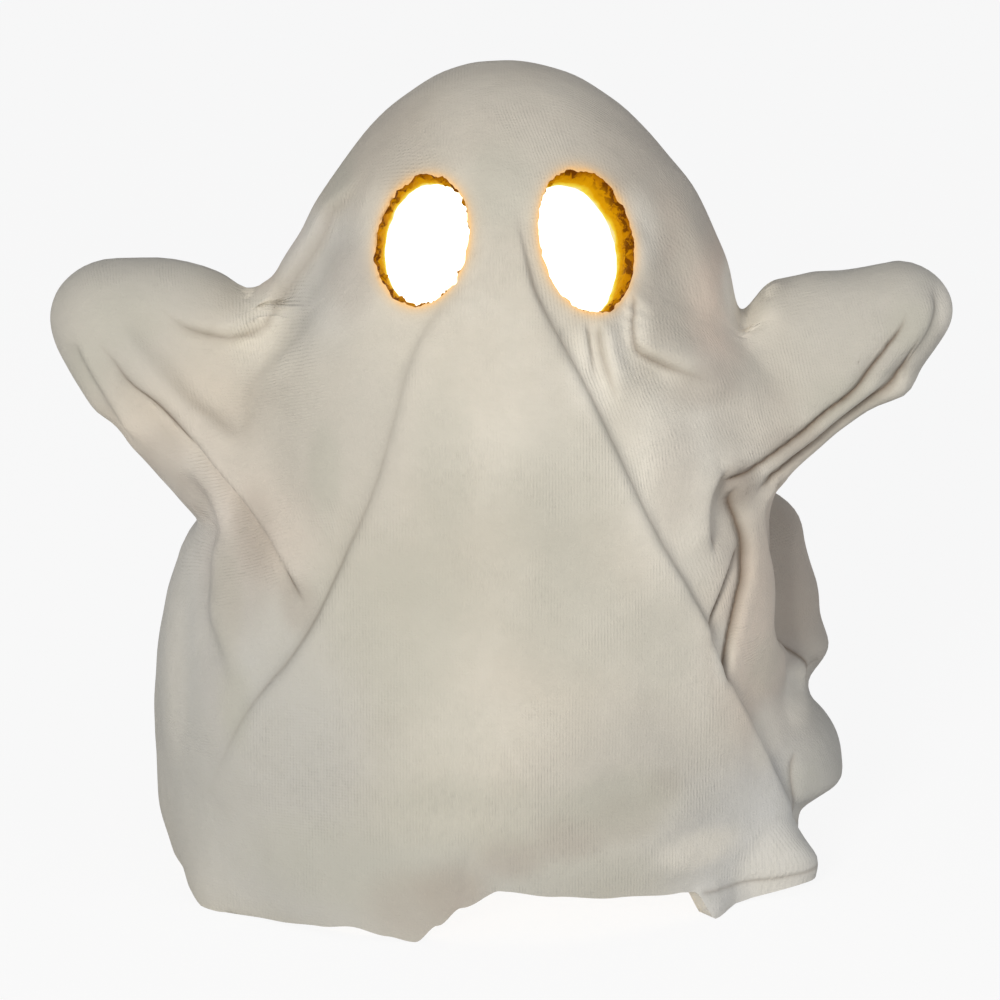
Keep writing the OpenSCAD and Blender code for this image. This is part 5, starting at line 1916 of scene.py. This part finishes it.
@dataclass(frozen=True)
class MetalFinish:
    """Plated sheet or turned metal, with rolling marks and a little tarnish."""

    name: str
    body: Colour
    tarnish: Colour
    rough: float = 0.28
    grain_along: tuple[float, float, float] = (6.0, 0.12, 6.0)
    mark_height: float = 0.008

    def material(self) -> bpy.types.Material:
        """Builds the metal's material.

        Returns:
            The material.
        """
        shader = Shader(self.name)
        scale = tuple(1 / (g * MM) for g in self.grain_along)
        placing = {0: shader.coordinates, 1: scale}
        stretched = shader.node("ShaderNodeVectorMath", {"operation": "MULTIPLY"}, placing).outputs[0]
        brushing = {"Vector": stretched, "Scale": 1.0, "Detail": 3.0}
        brushed = shader.node("ShaderNodeTexNoise", values=brushing)
        grain = Value(shader, brushed.outputs["Fac"])
        tarnish = shader.noise(2.5, 4.0, 0.6).ramp(0.45, 0.75)
        values = {
            "Base Color": shader.blend(tarnish, self.body, self.tarnish),
            "Metallic": 1.0,
            "Roughness": grain * 0.24 + (self.rough - 0.1),
        }
        return shader.surface(values, grain.bumps(self.mark_height))


@dataclass(frozen=True)
class SheathFinish:
    """Soft coloured insulation of a thin lead."""

    name: str
    body: Colour
    worn: Colour
    scuff_height: float = 0.02

    def material(self) -> bpy.types.Material:
        """Builds the sheath's material.

        Returns:
            The material.
        """
        shader = Shader(self.name)
        scuff = shader.noise(0.9, 3.0, 0.6)
        values = {
            "Base Color": shader.blend(scuff.ramp(0.45, 0.75) * 0.6, self.body, self.worn),
            "Roughness": scuff * 0.25 + 0.3,
        }
        return shader.surface(values, scuff.bumps(self.scuff_height))


@dataclass
class FlameLens:
    """The hollow flame of the tea light, drawn out and twisted from its flange, in millimetres."""

    neck_r: float = 6.0
    flange_r: float = 7.08
    flange_z: float = 15.5
    neck_z: float = 16.4
    dish_z: float = 17.6
    height: float = 24.0
    wall: float = 0.9
    sides: int = 40
    lobes: int = 5
    lobe_depth: float = 0.02
    lobe_start: float = 3.0
    twist: float = 9.0
    tip_lean: float = 0.5
    tip_share: float = 0.01
    sharp_edge: float = 60.0
    outline: tuple[tuple[float, float], ...] = (
        (0.84, 0), (0.94, 0.12), (0.99, 0.26), (0.96, 0.4),
        (0.83, 0.55), (0.61, 0.7), (0.37, 0.84), (0.17, 0.94),
    )

    def rise_to(self, z: float, share: float, middle: tuple[float, float, float]) -> None:
        """Draws the selected ring up and resizes it.

        Args:
            z: How far it goes up, in metres.
            share: Its new size, as a share of the old one.
            middle: The middle of the new ring, in metres.
        """
        bpy.ops.mesh.extrude_region_move(TRANSFORM_OT_translate={"value": (0, 0, z)})
        bpy.ops.transform.resize(value=(share, share, 1), center_override=middle)

    def build(self) -> bpy.types.Object:
        """Models the flame: flange, neck and drawn-out tip, then its wall.

        Returns:
            The finished object, without material.
        """
        bpy.ops.object.select_all(action="DESELECT")
        foot = (0, 0, self.flange_z * MM)
        bpy.ops.mesh.primitive_circle_add(
            vertices=self.sides, radius=self.flange_r * MM, fill_type="NOTHING", location=foot
        )
        flame = bpy.context.object
        flame.name = "frosted_flame"
        bpy.ops.object.transform_apply(location=True, rotation=True, scale=True)
        bpy.ops.object.mode_set(mode="EDIT")
        bpy.ops.mesh.select_all(action="SELECT")
        radius, z = self.flange_r, self.flange_z
        foot_r = self.outline[0][0] * self.neck_r
        rings = [(foot_r, self.flange_z), (foot_r, self.neck_z)]
        rings += [(share * self.neck_r, self.dish_z + up * self.height) for share, up in self.outline]
        for new_radius, new_z in rings:
            self.rise_to((new_z - z) * MM, new_radius / radius, (0, 0, new_z * MM))
            radius, z = new_radius, new_z
        tip_z = self.dish_z + self.height
        self.rise_to((tip_z - z) * MM, self.tip_share, (0, 0, tip_z * MM))
        bpy.ops.mesh.merge(type="CENTER")
        bpy.ops.mesh.select_all(action="SELECT")
        bpy.ops.mesh.remove_doubles(threshold=0.01 * MM)
        bpy.ops.mesh.normals_make_consistent(inside=False)
        bpy.ops.object.mode_set(mode="OBJECT")
        self.flute(flame)
        self.finish(flame)
        return flame

    def flute(self, flame: bpy.types.Object) -> None:
        """Presses soft lobes into the flame, twists them and leans the tip.

        Args:
            flame: The flame's object.
        """
        for vertex in flame.data.vertices:
            up = (vertex.co.z / MM - self.dish_z) / self.height
            if up <= 0:
                continue
            angle = math.atan2(vertex.co.y, vertex.co.x) + math.radians(self.twist) * up * math.pi
            lobe = 1 - math.cos(self.lobes * angle)
            press = 1 - self.lobe_depth * lobe * min(1, self.lobe_start * up)
            vertex.co.x = vertex.co.x * press + self.tip_lean * MM * up**3
            vertex.co.y *= press

    def finish(self, flame: bpy.types.Object) -> None:
        """Gives the flame its wall and a smooth surface.

        Args:
            flame: The flame's object.
        """
        select_only(flame)
        wall = flame.modifiers.new("wall", "SOLIDIFY")
        wall.thickness, wall.offset = self.wall * MM, -1.0
        soft = flame.modifiers.new("soft", "SUBSURF")
        soft.levels = soft.render_levels = 1
        for modifier in ("wall", "soft"):
            bpy.ops.object.modifier_apply(modifier=modifier)
        bpy.ops.object.shade_smooth_by_angle(angle=math.radians(self.sharp_edge))


@dataclass
class TeaLight:
    """The battery tea light under the ghost: its flame and the finishes of its CAD pieces."""

    flame: FlameLens = field(default_factory=FlameLens)
    leads: tuple[tuple[str, Colour, Colour], ...] = (
        ("red", paint(184, 34, 26), paint(146, 40, 32)),
        ("yellow", paint(222, 178, 36), paint(190, 152, 52)),
        ("black", paint(26, 26, 28), paint(60, 58, 56)),
    )

    def finishes(self) -> dict[str, bpy.types.Material]:
        """Builds one material for each CAD piece.

        Returns:
            The materials by the names of the nodes.
        """
        ivory = MouldedPlastic("ivory_cup", paint(240, 232, 214), paint(232, 221, 198)).material()
        base = MouldedPlastic("ivory_base", paint(232, 224, 206), paint(222, 211, 190), 0.03, 0.5)
        under = base.material()
        steel = MetalFinish("plated_steel", paint(196, 198, 200), paint(170, 168, 164)).material()
        sheet = MetalFinish("cell_steel", paint(206, 208, 210), paint(186, 184, 180), 0.22, (9, 0.1, 9))
        brass = MetalFinish("spring_brass", paint(214, 184, 110), paint(176, 142, 78), 0.26)
        cell, spring = sheet.material(), brass.material()
        return {
            "candle_cup": ivory,
            "base_plate": under,
            "battery_door": under,
            "led_lamp": LampFinish().material(),
            "circuit_board": BoardFinish().material(),
            "driver_chip": ResinFinish("potting_resin").material(),
            "base_screws": steel,
            "coin_cell": cell,
            "contact_positive": spring,
            "contact_negative": spring,
            "switch_housing": steel,
            "switch_slider": ResinFinish("black_slider", rough=0.4).material(),
            **{
                f"{name}_lead": SheathFinish(f"{name}_sheath", body, worn).material()
                for name, body, worn in self.leads
            },
        }

    def build(self) -> None:
        """Models the flame and dresses every CAD piece of the tea light."""
        flame = self.flame.build()
        flame.data.materials.append(FlameFinish().material())
        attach(flame, "tea_light")
        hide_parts("flame_lens")
        report(flame)
        for name, material in self.finishes().items():
            node = frame["nodes"][name]
            for slot in node.material_slots:
                slot.material = material
            report(node)


@dataclass(frozen=True)
class Lamp:
    """A soft square light that faces the ghost, in metres and watts."""

    name: str
    at: tuple[float, float, float]
    side: float
    power: float
    tint: Colour


@dataclass
class Studio:
    """Floor, lights and camera, in metres and watts."""

    floor_size: float = 8.0
    floor_gap: float = 0.02 * MM
    floor_share: float = 0.9
    floor: Colour = paint(236, 235, 233)
    floor_spots: Colour = paint(240, 239, 237)
    air: Colour = paint(242, 246, 255)
    sky: float = 0.34
    camera_distance: float = 0.9
    camera_elevation: float = 14.0
    target: tuple[float, float, float] = (0.0, 0.0, 0.083)
    lens: float = 145.5
    sensor: float = 36.0
    sight: tuple[float, float] = (0.05, 30.0)
    lamps: tuple[Lamp, ...] = (
        Lamp("key_light", (-0.42, -1.38, 0.5), 0.35, 13.0, paint(255, 251, 245)),
        Lamp("fill_light", (1.3, -0.9, 0.5), 1.1, 4.2, paint(250, 250, 255)),
    )

    def floor_material(self) -> bpy.types.Material:
        """Makes the pale floor, which the camera sees as nearly white with the object's shadow.

        Returns:
            The material.
        """
        shader = Shader("studio_floor")
        mottle = shader.noise(60.0, 2.0)
        colour = shader.blend(mottle, self.floor, self.floor_spots)
        lit = shader.node("ShaderNodeBsdfDiffuse", values={"Color": colour})
        white = shader.node("ShaderNodeEmission", values={"Color": WHITE, "Strength": 1.0})
        shares = {0: shader.seen_by_eye() * self.floor_share, 1: lit.outputs[0], 2: white.outputs[0]}
        both = shader.node("ShaderNodeMixShader", values=shares)
        shader.node("ShaderNodeOutputMaterial", values={"Surface": both.outputs[0]})
        return shader.material

    def lay_floor(self) -> None:
        """Lays the floor just under the object."""
        bpy.ops.object.select_all(action="DESELECT")
        bpy.ops.mesh.primitive_plane_add(size=self.floor_size, location=(0, 0, -self.floor_gap))
        floor = bpy.context.object
        floor.name = "studio_floor"
        floor.data.materials.append(self.floor_material())

    def hang(self, lamp: Lamp) -> None:
        """Hangs one light.

        Args:
            lamp: What the light is and where it hangs.
        """
        light = bpy.data.lights.new(lamp.name, "AREA")
        light.shape, light.size, light.energy = "SQUARE", lamp.side, lamp.power
        light.color = lamp.tint[:3]
        held = bpy.data.objects.new(lamp.name, light)
        held.location = lamp.at
        sight = Vector(self.target) - Vector(lamp.at)
        held.rotation_euler = sight.to_track_quat("-Z", "Y").to_euler()
        bpy.context.scene.collection.objects.link(held)

    def open_sky(self) -> None:
        """Fills the room with even light, and shows white behind the object."""
        world = bpy.data.worlds.new("studio_air")
        bpy.context.scene.world = world
        tree = Tree(world)
        air = tree.node("ShaderNodeBackground", values={"Color": self.air, "Strength": self.sky})
        white = tree.node("ShaderNodeBackground", values={"Color": WHITE})
        shares = {0: tree.seen_by_eye(), 1: air.outputs[0], 2: white.outputs[0]}
        both = tree.node("ShaderNodeMixShader", values=shares)
        tree.node("ShaderNodeOutputWorld", values={"Surface": both.outputs[0]})

    def set_camera(self) -> None:
        """Puts the camera in front of the ghost, a little above it."""
        tilt = math.radians(self.camera_elevation)
        back = Vector((0, -math.cos(tilt), math.sin(tilt)))
        data = bpy.data.cameras.new("front_camera")
        data.lens, data.sensor_width = self.lens, self.sensor
        data.clip_start, data.clip_end = self.sight
        camera = bpy.data.objects.new("front_camera", data)
        camera.location = Vector(self.target) + back * self.camera_distance
        camera.rotation_euler = (-back).to_track_quat("-Z", "Y").to_euler()
        bpy.context.scene.collection.objects.link(camera)
        bpy.context.scene.camera = camera

    def build(self) -> None:
        """Sets up the camera, the floor and the lights."""
        bpy.context.scene.view_settings.view_transform = "Standard"
        self.set_camera()
        self.lay_floor()
        self.open_sky()
        for lamp in self.lamps:
            self.hang(lamp)


def report(piece: bpy.types.Object) -> None:
    """Logs one piece with its size in millimetres.

    Args:
        piece: The object.
    """
    corners = np.array(piece.bound_box)
    size = ((corners.max(0) - corners.min(0)) / MM).round(1).tolist()
    LOG.info("%s: %d vertices, %s mm", piece.name, len(piece.data.vertices), size)


def main() -> None:
    """Builds the studio, the ghost and the tea light in order."""
    logging.basicConfig(level=logging.INFO, format="%(name)s: %(message)s")
    Studio().build()
    ghost = GhostShell()
    shell = ghost.build()
    ghost.dress(shell, ClayFinish(), RimFinish(), LiningFinish())
    report(shell)
    TeaLight().build()


if __name__ == "__main__":
    main()
